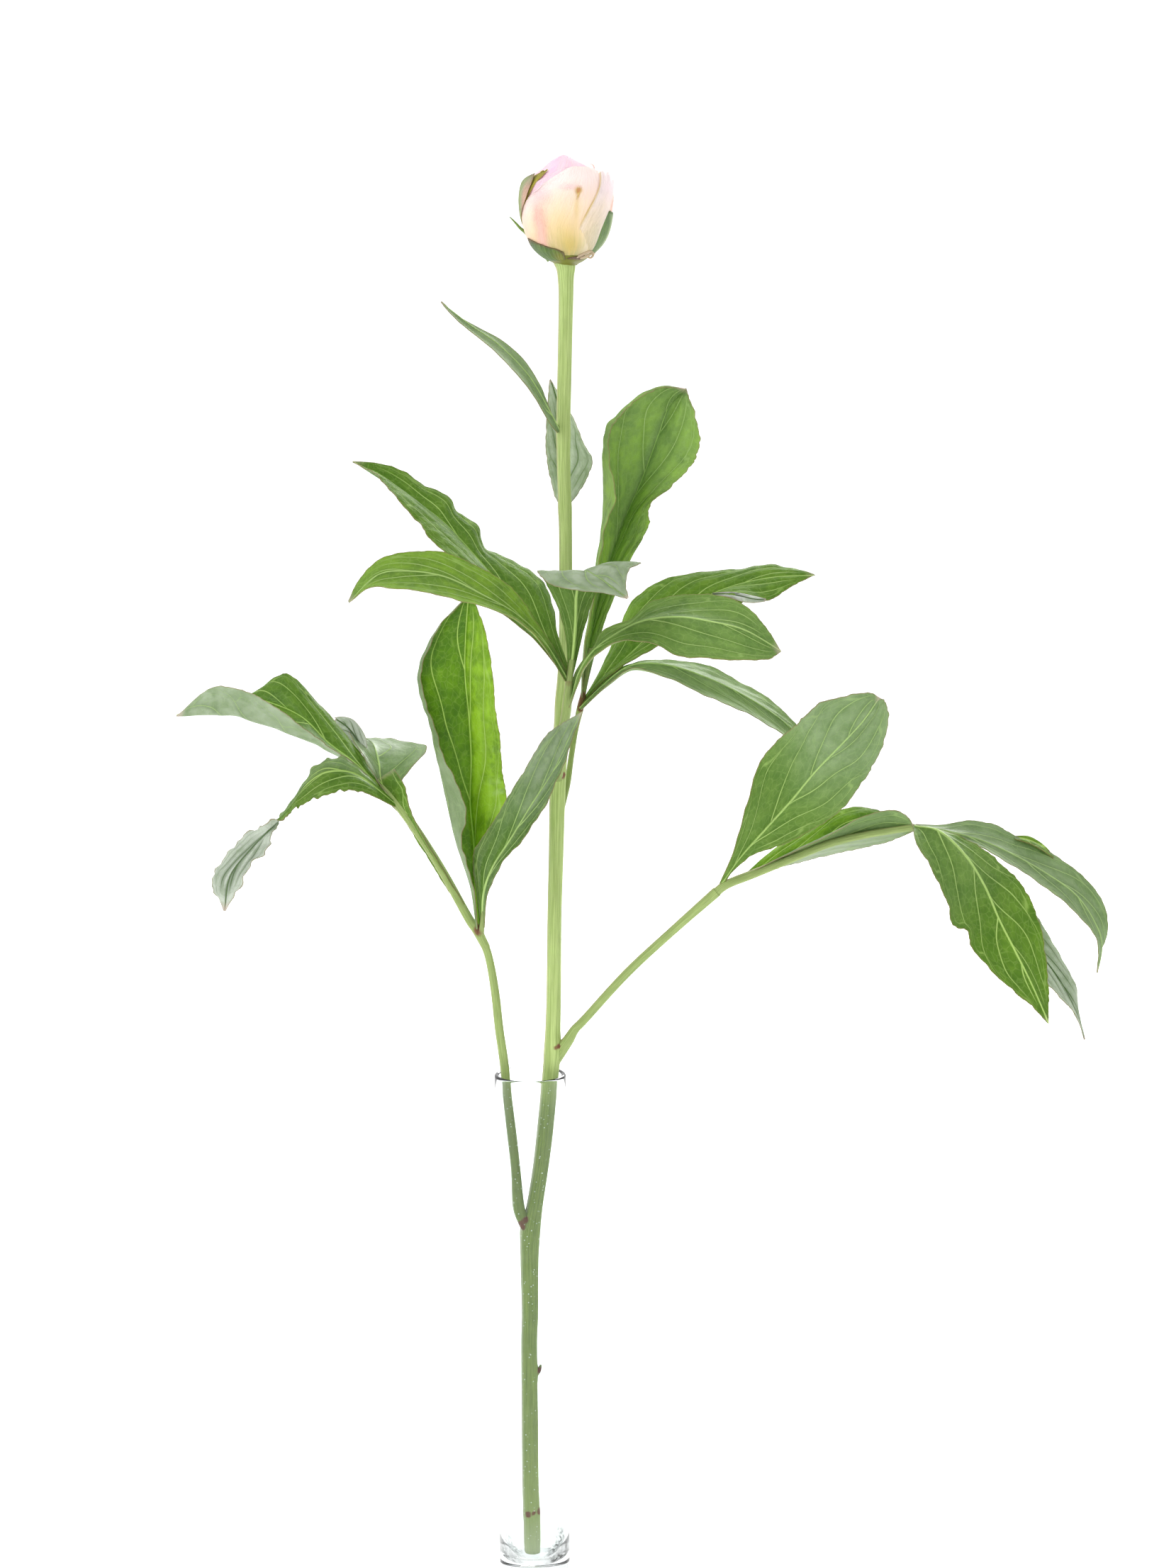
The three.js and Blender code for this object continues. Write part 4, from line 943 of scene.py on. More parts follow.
def vein_phase(at, veins, lean, turns):
    """Whole on each side vein: veins * (s - lean * (0.6 |a| + 0.4 a^2)), with a slow wobble that grows
    toward the margin. The veins of the right half come 0.4 later than those of the left one."""
    wobble = 0.16 * np.sin(13 * at.s + turns[0] + 2 * at.a) + 0.1 * np.sin(29 * at.s + turns[1] - 3 * at.a)
    way = veins * (at.s - lean * (0.6 * at.side + 0.4 * at.side**2))
    return way + wobble * at.side + 0.4 * (at.a > 0) + turns[2]


def vein_pitch(at, veins, lean):
    """Millimetres from one side vein to the next: 1 over the length of the phase's slope."""
    slope_across = veins * lean * (0.6 + 0.8 * at.side) / np.maximum(at.half, 1)
    return 1 / np.hypot(veins / at.along[-1], slope_across)


def blade_height(at, phase, waves, turns, rng):
    """Height over the middle surface: puff * sin(pi phase)^2 * (4 |a| (1 - |a|))^0.7 between the veins,
    less groove * exp(-(across / reach)^2) at the rib, plus waves * |a|^3 at each margin."""
    between = (at.side * (1 - at.side) * 4) ** 0.7
    height = PUFF * np.sin(np.pi * phase) ** 2 * between * at.body * np.minimum(1, at.half / 14)
    height -= GROOVE * np.exp(-((at.across / GROOVE_REACH) ** 2)) * (1 - 0.7 * at.s)
    for this_half in (at.a < 0, at.a > 0):
        long, short = rng.uniform(*LONG_WAVES), rng.uniform(*SHORT_WAVES)
        slow, quick = 2 * np.pi * at.along / long + turns[3], 2 * np.pi * at.along / short + turns[4]
        height += waves * (0.6 * np.sin(slow) + 0.4 * np.sin(quick)) * at.side**3 * this_half * at.body
    return height


def nicked(middle, at, nicks, turn):
    """The middle surface with its margins moved in and out by nicks * |a|^8 * the mean of three sines."""
    outward = unit(np.gradient(middle, axis=1)) * np.sign(at.a)[..., None]
    swing = sum(np.sin(2 * np.pi * at.along / wide + turn + 2 * at.a) for wide in NICK_WAVES) / 3
    return middle + outward * (nicks * swing * at.side**8 * at.body)[..., None]


print("a blade puffs up by", PUFF, "mm and sinks by", GROOVE, "mm at its rib")

# %% [markdown]
# ## Leaflets
# A leaflet is two such surfaces a third of a millimetre apart, with the rib standing out below as a
# round ridge. Solidify could give the thickness, but a lower grid of its own can carry the ridge, and
# can tell the finish that it is the dull side.

# %% Leaflets
BLADE_THICKNESS = 0.34
RIDGE = 0.5
RIDGE_REACH = 0.7
TIP_STARTS = (0.35, 0.7)


def fade(first, last, s):
    """Three numbers per point: first near the base, last past the middle."""
    share = smooth_step(s, *TIP_STARTS)[..., None]
    return np.asarray(first) * (1 - share) + np.asarray(last) * share


def light_through(at, pair):
    """What a pair gives to the left and the right half, less at the rib and fading toward the tip."""
    return np.where(at.a < 0, *pair) * (np.minimum(1, at.side * 6) * at.body) * (1.35 - 0.8 * at.s)


def add_leaflet(patchwork, leaflet, veins, lean, waves, seed, above, below, above_tip=None, below_tip=None,
                light=(0, 0), silver_sheen=(0, 0), nicks=0.25):
    """Adds a leaflet: the middle surface, plus the relief, plus or minus half the thickness along its
    normals. Above and below are the greyness, shine and paleness of its faces; the paleness is a painted
    silvery sheen. Light paints the glow of sun that comes through the left and the right half, and painted
    shade where it is below 0; the pair after it is how much painted silvery sheen each half has."""
    middle = blade_grid(leaflet)
    normals = grid_normals(middle)
    at = BladePlaces(middle)
    rng = np.random.default_rng(seed)
    turns = rng.random(6) * 2 * np.pi
    phase = vein_phase(at, veins, lean, turns)
    height = blade_height(at, phase, waves, turns, rng)
    middle = nicked(middle, at, nicks, turns[5])
    ridge = RIDGE * np.exp(-((at.across / RIDGE_REACH) ** 2)) * (1 - 0.75 * at.s)
    ridge = ridge * np.minimum(1, at.half / 10)
    taper = np.minimum(1, at.half / 3 + 0.35)
    upper = middle + normals * (height + BLADE_THICKNESS / 2 * taper)[..., None]
    lower = middle + normals * (height - (BLADE_THICKNESS / 2 + ridge) * taper)[..., None]
    blade = np.stack([at.a, at.s, np.ones_like(at.a)], -1)
    flat = np.stack([at.across, np.broadcast_to(at.along, at.a.shape), (1 - at.side) * at.half], -1)
    lights = np.stack([light_through(at, pair) for pair in (light, silver_sheen, (0, 0))], -1)
    patchwork.add(
        *shell(upper, lower),
        blade=both_faces(blade, blade * (1, 1, 0)),
        vein=both_faces(np.stack([phase, vein_pitch(at, veins, lean), at.across], -1)),
        flat=both_faces(flat),
        look=both_faces(fade(above, above_tip or above, at.s), fade(below, below_tip or below, at.s)),
        light=both_faces(lights),
    )
    return at.along[-1, 0], (at.across[:, -1] - at.across[:, 0]).max()


print("a leaflet is", BLADE_THICKNESS, "mm thick")

# %% [markdown]
# ## Stalks
# The stem and the leaf stalks are round, faintly ribbed tubes that swell where they fork. A curve with
# a round bevel would be quicker, but its section can't have ribs or a groove. Here each stalk is a ring
# of points carried along its curve, and small bumps push single places outward, such as a bud scar.

# %% Tubes
ROUGH_STEPS = 200
RIB_COUNT = 7
GROOVE_TURN = 0.5


def tube_rings(line, sides, step, ribs=0.0, groove=0.0, knobs=()):
    """Rings round a curve of radius r, with the turn t from its left side and f from its front:
    r * (1 + ribs cos 7t - groove exp(-(f / 0.5)^2)) + rise exp(-(distance / size)^2) for each knob."""
    rough = rail(line, np.linspace(0, 1, ROUGH_STEPS))[:, :3]
    count = max(4, int(np.linalg.norm(np.diff(rough, axis=0), axis=1).sum() / step))
    curve = rail(line, np.linspace(0, 1, count + 1))
    centre, radius = curve[:, :3], curve[:, 3]
    along = unit(np.gradient(centre, axis=0))
    left = unit(np.cross(along, (0.0, 1.0, 0.0)))
    back = np.cross(left, along)
    t = np.linspace(0, 2 * np.pi, sides, endpoint=False)
    out = left[:, None] * np.cos(t)[:, None] - back[:, None] * np.sin(t)[:, None]
    from_front = (t - np.pi / 2 + np.pi) % (2 * np.pi) - np.pi
    dip = groove * np.exp(-((from_front / GROOVE_TURN) ** 2))
    reach = radius[:, None] * (1 + ribs * np.cos(RIB_COUNT * t) - dip)
    rings = centre[:, None] + out * reach[..., None]
    for x, y, z, size, rise in knobs:
        away = np.linalg.norm(rings - (x, y, z), axis=-1, keepdims=True)
        rings = rings + out * rise * np.exp(-((away / size) ** 2))
    way = np.concatenate([[0], np.cumsum(np.linalg.norm(np.diff(centre, axis=0), axis=1))])
    around = np.broadcast_to(np.stack([np.cos(t), np.sin(t)], -1), (*rings.shape[:2], 2))
    return rings, np.concatenate([around, np.broadcast_to(way[:, None, None], (*rings.shape[:2], 1))], -1)


def lathe_rings(profile, sides):
    """A profile of radius r and height z turned round +Z: (r cos t, r sin t, z)."""
    t = np.linspace(0, 2 * np.pi, sides, endpoint=False)
    return np.stack([profile[:, :1] * np.cos(t), profile[:, :1] * np.sin(t), profile[:, 1:] + 0 * t], -1)


def closed_rings(rings):
    """Points and faces of a tube of rings with both ends closed by strips of four-sided faces."""
    count, sides = rings.shape[:2]
    k = np.arange(sides // 2 - 1)
    cap = np.stack([k, k + 1, sides - 2 - k, sides - 1 - k], -1)
    last = (count - 1) * sides
    return rings.reshape(-1, 3), np.concatenate([grid_faces(count, sides, True), cap[:, ::-1], cap + last])


def blush_near(points, spots):
    """1 at each spot (x, y, z, radius), falling off as exp(-(distance / radius)^2)."""
    away = [np.exp(-((np.linalg.norm(points - spot[:3], axis=-1) / spot[3]) ** 2)) for spot in spots]
    return np.max(away, axis=0)


def add_tube(patchwork, line, spots, sides=16, step=2.0, slot=1, deep=0.0, **shape):
    """Adds a stalk that is reddish at the spots and darker by deep."""
    rings, stalk = tube_rings(line, sides, step, **shape)
    points, faces = closed_rings(rings)
    stalk = stalk.reshape(-1, 3)
    blush = np.stack([blush_near(points, spots), 0 * stalk[:, 0] + deep, 0 * stalk[:, 0]], -1)
    patchwork.add(points, faces, slot=slot, stalk=stalk, blush=blush)


print("the stem's curve has", len(STALKS["stem"]), "points")

# %% [markdown]
# ## Leaf finish
# A leaf is glossy and saturated above, dull and greyish below, with pale veins on both sides and a
# thin reddish margin. A picture of a leaf would bring one leaf's veins to all of them, so the veins
# are drawn from the pattern that the blade carries. Some light goes through a leaf: a translucent part
# of the mix gives the glow. Light and shade are also painted into the colour: a bright glow where sun
# comes through, painted shade on shaded leaflets and in the sunken strips beside the veins, a pale
# silvery sheen, and lighter and darker areas that are partly the leaf's own mottling and partly
# painted light and shade.

# %% Leaf finish
FRESH_GREENS = seen(0.25, 0.41, 0.02), seen(0.43, 0.60, 0.07)
DULL_GREENS = seen(0.32, 0.45, 0.16), seen(0.44, 0.56, 0.23)
GREY_GREENS = seen(0.47, 0.56, 0.38), seen(0.56, 0.65, 0.46)
PAINTED_SHEEN_LEAF = seen(0.82, 0.84, 0.80)
PAINTED_BACKLIT_LEAF = seen(0.63, 0.80, 0.19)
PAINTED_SHADE_LEAF = seen(0.18, 0.30, 0.05)
HOLLOW_SHADE_GREENS = seen(0.22, 0.34, 0.10), seen(0.36, 0.41, 0.33)
VEINS_LIGHT = seen(0.80, 0.93, 0.48), seen(0.72, 0.83, 0.55)
VEINS_DARK = seen(0.33, 0.39, 0.29)
LEAF_MARGIN = seen(0.60, 0.47, 0.38)
LEAF_TIP = seen(0.86, 0.76, 0.73)
LEAF_GLOW = seen(0.58, 0.74, 0.10)


def vein_lines(leaf, flat, s, side, phase, x, away, open_net):
    """1 on the rib, 0.9 on a side vein, 0.35 on the loops that join them near the margin and 0.16 on the
    fine net between them."""
    side_line = (1 - leaf.smooth(away, 0.08, 0.48 - 0.22 * side)) * (1 - side**5) * open_net
    loop = abs(side - 0.84 + 0.05 * (phase * 2 * math.pi).math("COSINE")) * abs(x)
    loop_line = (1 - leaf.smooth(loop, 0.05, 0.3)) * leaf.smooth(abs(x), 3.0, 6.0)
    rib_line = 1 - leaf.smooth(abs(x), 0.2, 0.85 - 0.4 * s)
    net = leaf.node("ShaderNodeTexVoronoi", {"feature": "DISTANCE_TO_EDGE"}, {"Vector": flat, "Scale": 0.3})
    net_line = 1 - leaf.smooth(net, 0.0, 0.08)
    lines = (side_line * 0.9).math("MAXIMUM", rib_line).math("MAXIMUM", net_line * 0.16)
    return lines.math("MAXIMUM", loop_line * 0.35)


def leaf_finish():
    """`look` holds greyness, shine and paleness, the paleness being a painted silvery sheen; `vein` holds the
    side veins' phase and pitch and the millimetres from the rib; `light` holds the painted glow of sun that
    comes through, painted shade where it is below 0, and the painted silvery sheen of each half."""
    leaf = Finish("leaf_green")
    _, (a, s, upper) = leaf.attribute("blade")
    _, (phase, pitch, x) = leaf.attribute("vein")
    flat, (_, _, edge) = leaf.attribute("flat")
    _, (grey, shine, pale) = leaf.attribute("look")
    _, (light, silver_sheen, _) = leaf.attribute("light")
    place = leaf.place()
    side = abs(a)
    away = abs((phase + 0.5).math("FRACT") - 0.5) * pitch
    open_net = leaf.smooth(pitch, 1.5, 4.0)
    lines = vein_lines(leaf, flat, s, side, phase, x, away, open_net)
    # Lighter and darker areas over each leaflet: partly the leaf's own mottling and partly painted light and
    # shade.
    light_and_shade_patches = leaf.smooth(leaf.noise(place, 75.0), 0.32, 0.68)
    cells = leaf.smooth(leaf.noise(flat, 0.22, 2.0), 0.35, 0.65)
    tone_light_and_shade = light_and_shade_patches * 0.6 + cells * 0.4
    flesh = leaf.blend(grey * 2, leaf.blend(tone_light_and_shade, *FRESH_GREENS), leaf.blend(tone_light_and_shade, *DULL_GREENS))
    flesh = leaf.blend(grey * 2 - 1, flesh, leaf.blend(tone_light_and_shade, *GREY_GREENS))
    # Painted sheen: the paleness and the silvery value turn the blade a pale silvery white, as a sheen of
    # light on it.
    painted_sheen = (pale * (0.5 + tone_light_and_shade)).math("MAXIMUM", silver_sheen)
    flesh = leaf.blend(painted_sheen, flesh, PAINTED_SHEEN_LEAF)
    # Painted light: a bright glow where sun comes through the leaf, then painted shade where the light value
    # is below 0.
    flesh = leaf.blend(light * (0.35 + 1.0 * tone_light_and_shade), flesh, PAINTED_BACKLIT_LEAF)
    flesh = leaf.blend(light * -1.0, flesh, PAINTED_SHADE_LEAF)
    # Painted shade: the blade is darker in the sunken strips beside each side vein.
    hollow_shade = (1 - leaf.smooth(away, 0.4, 2.6)) * (0.28 + 0.3 * pale * shine) * (1 - side**4) * open_net
    flesh = leaf.blend(hollow_shade, flesh, leaf.blend(pale, *HOLLOW_SHADE_GREENS))
    vein_colour = leaf.blend(pale * 1.4 - 0.3, leaf.blend(grey, *VEINS_LIGHT), VEINS_DARK)
    green = leaf.blend(lines, flesh, vein_colour)
    margin = (1 - leaf.smooth(edge, 0.1, 0.45)) * 0.6
    green = leaf.blend(margin, green, LEAF_MARGIN)
    green = leaf.blend(leaf.smooth(s, 0.955, 1.0) * grey * 0.8, green, LEAF_TIP)
    freckles = leaf.smooth(leaf.noise(place, 900.0), 0.3, 0.7)
    relief = lines * (1 - 2 * upper) * 0.6 + freckles * 0.03 + cells * 0.5
    skin = leaf.skin(
        Base_Color=green, Roughness=0.62 - 0.22 * shine + 0.08 * freckles, Normal=leaf.bump(relief, 0.4),
        Coat_Weight=(shine - 0.2).math("MAXIMUM", 0.0), Specular_IOR_Level=0.2, Coat_Roughness=0.25,
    )
    return leaf.surface(leaf.thin(skin, LEAF_GLOW, 0.3))


leaf_green = leaf_finish()
print("finish:", leaf_green.name)

# %% [markdown]
# ## Stalk finish
# A green stalk has fine streaks along it. It is darker inside the vase and paler toward its cut end,
# reddish where it forks, and flecked with pale dots of residue inside the glass, where a pale strip down
# its left side is a painted sheen. Noise on the stalk's own turn and length gives streaks that follow
# every bend, which noise on plain places can't.

# %% Stalk finish
STALK_IN_GLASS = seen(0.37, 0.48, 0.14), seen(0.56, 0.66, 0.28)
STALK_ABOVE = seen(0.56, 0.66, 0.33), seen(0.75, 0.84, 0.52)
CUT_END = seen(0.72, 0.79, 0.50)
DEEP_STALK = seen(0.44, 0.54, 0.24)
STALK_MOTTLE = seen(0.74, 0.78, 0.56)
STALK_PINK = seen(0.80, 0.62, 0.55)
STALK_SHEEN = seen(0.86, 0.89, 0.80)
FORK_RED = seen(0.48, 0.26, 0.20)
STALK_DOTS = seen(0.92, 0.95, 0.88)


def stalk_finish():
    """Green with fine streaks along it, paler toward the top, darker in the vase, reddish at the forks
    and a little pink on its left side, with a painted sheen down that side inside the glass."""
    stalk = Finish("stalk_green")
    streak_place, (leftness, _, _) = stalk.attribute("stalk")
    _, (blush, deep, _) = stalk.attribute("blush")
    place = stalk.place()
    height = stalk.node("ShaderNodeSeparateXYZ", {}, {0: place}, 2)
    along = stalk.stretched(streak_place, (5, 5, 0.02))
    streaks = stalk.smooth(stalk.noise(along, 1.6), 0.38, 0.62)
    fine = stalk.smooth(stalk.noise(along, 4.5), 0.4, 0.6)
    grain = streaks * 0.6 + fine * 0.4
    mottle = stalk.noise(place, 220.0)
    free = stalk.smooth(height, 0.20, 0.235)
    low = stalk.blend(grain, *STALK_IN_GLASS)
    low = stalk.blend((1 - stalk.smooth(height, 0.0, 0.09)) * 0.6, low, CUT_END)
    green = stalk.blend(free, low, stalk.blend(grain, *STALK_ABOVE))
    green = stalk.blend(deep, green, DEEP_STALK)
    green = stalk.blend(mottle * 0.3, green, STALK_MOTTLE)
    green = stalk.blend(stalk.smooth(leftness, 0.78, 0.98) * 0.25, green, STALK_PINK)
    cut = 1 - stalk.smooth(height, 0.006, 0.03)
    # Painted sheen: a pale strip down the stalk's left side inside the glass; the same pale colour also
    # covers its cut end.
    sheen_and_cut_end = stalk.smooth(leftness, 0.7, 0.95).math("MAXIMUM", cut) * (1 - free)
    green = stalk.blend(sheen_and_cut_end * 0.4, green, STALK_SHEEN)
    green = stalk.blend(stalk.smooth(blush, 0.25, 0.6) * (0.65 + 0.5 * mottle), green, FORK_RED)
    dots = stalk.node("ShaderNodeTexVoronoi", {}, {"Vector": place, "Scale": 600.0})
    sparse = stalk.smooth(stalk.noise(place, 120.0), 0.44, 0.52)
    green = stalk.blend((1 - stalk.smooth(dots, 0.12, 0.18)) * sparse * (1 - free), green, STALK_DOTS)
    skin = stalk.skin(
        Base_Color=green, Roughness=0.4 + 0.2 * mottle, Normal=stalk.bump(grain * 0.6 + mottle * 0.4, 0.25),
        Specular_IOR_Level=0.35,
    )
    return stalk.surface(skin)


stalk_green = stalk_finish()
print("finish:", stalk_green.name)

# %% [markdown]
# ## The four compound leaves and two bracts
# Each leaf is one piece: its stalks and all its leaflets, because it grew as one. The leaflets of one
# plant differ, so each has its own looks. `above` and `below` are the greyness, shine and paleness of
# its two faces, with a `_tip` where they change; the paleness is a painted silvery sheen. `light` is the
# painted glow of sun that comes through its left and right half, and painted shade where it is below 0;
# the pair after it is how much painted silvery sheen each half has; the rest shapes its veins and margins.

# %% Leaves
FORK_SPOTS = (
    (-2.7, -2.5, 158.8, 1.9), (-4.5, -3, 157.1, 1.7), (-6.7, -2, 156.5, 1.7), (-3.6, -3, 155.5, 1.3),
    (3.1, -1, 91.1, 1.6), (-2.4, -2.8, 26.7, 1.7), (2.3, -1.8, 27.6, 1.7), (-0.2, -3.6, 27.3, 1),
    (0.3, 3, 25.1, 2.2), (15.1, -2.5, 351.5, 1.6), (-20.9, -7, 286.5, 2.6), (10.8, -3, 234.4, 1.2),
    (12, -2.5, 234.9, 1.3), (80.7, -7, 303.5, 2.4), (23.7, 8, 383, 3.2), (18.1, -19, 393.6, 2),
    (23, 8, 379.4, 2),
)
GREY = (1.0, 0.2, 0.0)
MILD = (0.5, 0.2, 0.0)
LOOKS = {
    "left_side_leaflet": dict(
        veins=4.5, lean=0.5, waves=0.3, above=(0.35, 0.3, 0), below=(1.0, 0.35, 0.3), light=(-0.05, -0.15)),
    "left_drooping_leaflet": dict(
        veins=3.4, lean=0.8, waves=1.7, nicks=1.0, above=(0.45, 0.4, 0), below=(0.8, 0.6, 0),
        below_tip=(1.0, 1.0, 1.4), silver_sheen=(0, 0.15)),
    "left_end_leaflet": dict(
        veins=4, lean=0.45, waves=0.5, above=(1, 0.3, 0.3), above_tip=(1, 0.4, 1.1), below=(0.75, 0.5, 0.1),
        below_tip=(0.9, 0.4, 0.5)),
    "left_end_flap": dict(veins=3, lean=0.5, waves=0.2, nicks=0.05, above=(1, 0.3, 1.1), below=(1, 0.3, 1.1)),
    "left_rachis_wing": dict(veins=2, lean=0.6, waves=0.2, above=(0.35, 0.3, 0), below=GREY),
    "left_upright_leaflet": dict(
        veins=2.6, lean=0.8, waves=0.6, above=(0.0, 0.6, 0), below=(0.9, 0.4, 0.1), light=(0.0, 1.15)),
    "left_inner_leaflet": dict(
        veins=4, lean=0.5, waves=0.4, above=MILD, below=(0.6, 0.9, 0.0), below_tip=(0.85, 0.8, 0.3),
        light=(-0.6, -0.35)),
    "front_low_left_leaflet": dict(
        veins=4, lean=0.8, waves=0.2, above=GREY, below=(0.6, 0.2, 0), light=(0.45, 0.5)),
    "front_high_left_leaflet": dict(veins=4, lean=0.7, waves=0.5, above=(0.45, 0.1, 0), below=GREY),
    "front_folded_leaflet": dict(veins=4.5, lean=0.5, waves=0.3, above=(1, 0.2, 0.4), below=(0.6, 0.2, 0)),
    "front_right_leaflet": dict(
        veins=3.8, lean=0.75, waves=0.3, above=GREY, below=(0.7, 0.2, 0), light=(0.12, 0.12)),
    "back_tall_leaflet": dict(
        veins=5, lean=0.5, waves=0.6, above=(0.85, 0.2, 0.06), below=(0.9, 0.2, 0.1), light=(0.5, 0.5),
        nicks=0.6),
    "back_far_right_leaflet": dict(
        veins=5, lean=0.5, waves=0.5, above=(0.45, 0.1, 0), below=GREY, light=(0.12, 0.12)),
    "back_far_right_curl": dict(
        veins=1, lean=0.5, waves=0, nicks=0.05, above=(1, 0.3, 1.1), below=(1, 0.3, 1.1)),
    "back_right_leaflet": dict(
        veins=5, lean=0.5, waves=0.3, above=(0.6, 0.3, 0.2), below=(0.8, 0.3, 0.1), light=(0.15, 0.15)),
    "right_big_leaflet": dict(
        veins=4.5, lean=0.5, waves=0.4, above=GREY, below=(0.55, 0.2, 0), below_tip=(0.95, 0.2, 0.1),
        nicks=0.4),
    "right_rachis_wing": dict(
        veins=3, lean=0.9, waves=0.2, above=GREY, below=(0.8, 0.3, 0.05), silver_sheen=(0.75, 0.1)),
    "right_rear_wing": dict(
        veins=5, lean=0.5, waves=0.4, above=(0.1, 0.3, 0), below=GREY, light=(0.3, 0.1)),
    "right_hanging_leaflet": dict(
        veins=4.6, lean=0.5, waves=0.5, above=GREY, below=(0.6, 0.3, 0), below_tip=(0.3, 0.3, 0), nicks=0.4),
    "right_end_leaflet": dict(veins=4.5, lean=0.5, waves=0.3, above=GREY, below=(0.95, 0.4, 0.08)),
    "right_end_fold": dict(
        veins=1, lean=0.5, waves=0.1, nicks=0.05, above=(0.3, 0.3, 0), below=(0.3, 0.3, 0),
        light=(0.2, 0.2)),
    "right_rear_leaflet": dict(
        veins=5, lean=0.5, waves=0.3, above=(0.95, 0.3, 0.6), below=GREY, above_tip=(1, 0.3, 1.0),
        light=(0.1, 0.1)),
    "upper_left_bract": dict(
        veins=0.7, lean=0.8, waves=0.1, nicks=0.03, above=GREY, below=(0.8, 0.2, 0.18)),
    "upper_back_bract": dict(
        veins=4, lean=0.6, waves=0.3, above=(1, 0.3, 0.8), below=GREY, light=(0.1, 0.1)),
}


def grow(name, node, start, stalks=()):
    """One piece for one leaf, in one mesh: its stalks, and every leaflet whose name begins with start."""
    patchwork = Patchwork()
    for number, leaflet in enumerate(LEAFLETS):
        if leaflet.startswith(start):
            length, width = add_leaflet(patchwork, LEAFLETS[leaflet], seed=number, **LOOKS[leaflet])
            print("  ", leaflet, round(length), "mm long,", round(width), "mm wide")
    for stalk in stalks:
        add_tube(patchwork, STALKS[stalk], FORK_SPOTS, deep=0.36, groove=0.14, ribs=0.02)
    piece(name, patchwork, [leaf_green, stalk_green], node)


grow("left_leaf", "leaf_left", "left_", ("left_petiole", "left_rachis", "left_inner_stalk"))
grow("right_leaf", "leaf_right", "right_", ("right_petiole", "right_rachis", "right_rear_stalk"))
grow("front_leaf", "leaf_front", "front_", ("front_petiole",))
grow("back_leaf", "leaf_back", "back_", ("back_petiole", "back_tall_stalk"))
grow("left_bract", "bract_left", "upper_left")
grow("back_bract", "bract_back", "upper_back")

# %% [markdown]
# ## Stem
# The stem runs from its cut end on the vase's floor to the flare under the bud. Its knobs are the
# swellings at the forks, the ring of an old leaf scar and the stub of a side bud. They could be spheres
# joined to the tube, but pushing the tube's own points out leaves no seam. A knob is x, y, z, size, rise.

# %% Stem
STEM_KNOBS = (
    (-7.6, 0, 155.6, 4.5, 0.8), (2.2, 0, 90.2, 2.6, 0.7), (-3.4, 0, 26.3, 2.2, 0.3),
    (0.1, 0, 26.3, 2.2, 0.5), (-1.4, -3.3, 27.5, 2.4, 0.2), (14.5, -2.5, 351.5, 2, 0.3),
    (11.7, -1, 232.7, 5, 0.7), (17.1, -1, 495.5, 4, 0.3), (16.8, 1, 464.1, 4, 0.3),
    (16.2, 1, 382.7, 6, 0.5),
)
SIDE_BUD = [[1, 0, 88.5, 1.2], [2.6, -0.6, 91, 1.0], [3.4, -0.9, 93.4, 0.45]]
stem = Patchwork()
add_tube(stem, STALKS["stem"], FORK_SPOTS, sides=40, step=1.6, ribs=0.022, knobs=STEM_KNOBS, slot=0)
add_tube(stem, SIDE_BUD, FORK_SPOTS, sides=12, step=0.6, slot=0)
piece("green_stem", stem, [stalk_green], "stem")

# %% [markdown]
# ## Bud
# The bud's petals all follow one egg-shaped skin. A petal is given by its two side edges, each a few
# places on that skin: the turn round the axis, the share of the way up and the lift off the skin.
# Between its edges it is a grid on the skin, raised in the middle of its top edge by a crown.

# %% Petal surfaces
BUD_FOOT = np.array([18.4, 0.0, 567.6])
BUD_LEAN = 0.7
BUD_PROFILE = [
    [3, 0], [8, 1.5], [12.1, 4.4], [15.2, 8.4], [17.1, 13.5], [17.9, 19.5], [17.8, 25.5],
    [16.6, 31], [13.4, 36], [8.4, 40], [3, 42.2], [0, 42.6],
]
BUD_HEIGHT = BUD_PROFILE[-1][1]
SKIN_TOP = 0.995
DENT = 2.0
DENT_TURN, DENT_WIDE = 200, 40
DENT_SHARE, DENT_TALL = 0.76, 0.1


def on_bud(turn, share, lift):
    """Points on the bud's skin: the profile curve at the share, moved out along its normal, then turned.
    The skin is flatter at the upper left: lift - dent exp(-(turns off / wide)^2 - (shares off / tall)^2)."""
    share = np.clip(share, 0, SKIN_TOP)
    off = ((turn - DENT_TURN) / DENT_WIDE) ** 2 + ((share - DENT_SHARE) / DENT_TALL) ** 2
    lift = lift - DENT * np.exp(-off)
    here, next_to = rail(BUD_PROFILE, share.ravel()), rail(BUD_PROFILE, share.ravel() + 0.002)
    along = unit(next_to - here).reshape(*share.shape, 2)
    here = here.reshape(*share.shape, 2)
    radius = np.maximum(here[..., 0] + lift * along[..., 1], 0)
    height = here[..., 1] - lift * along[..., 0]
    angle = np.radians(turn)
    lean = BUD_LEAN * height / BUD_HEIGHT
    return BUD_FOOT + np.stack([lean + radius * np.cos(angle), radius * np.sin(angle), height], -1)


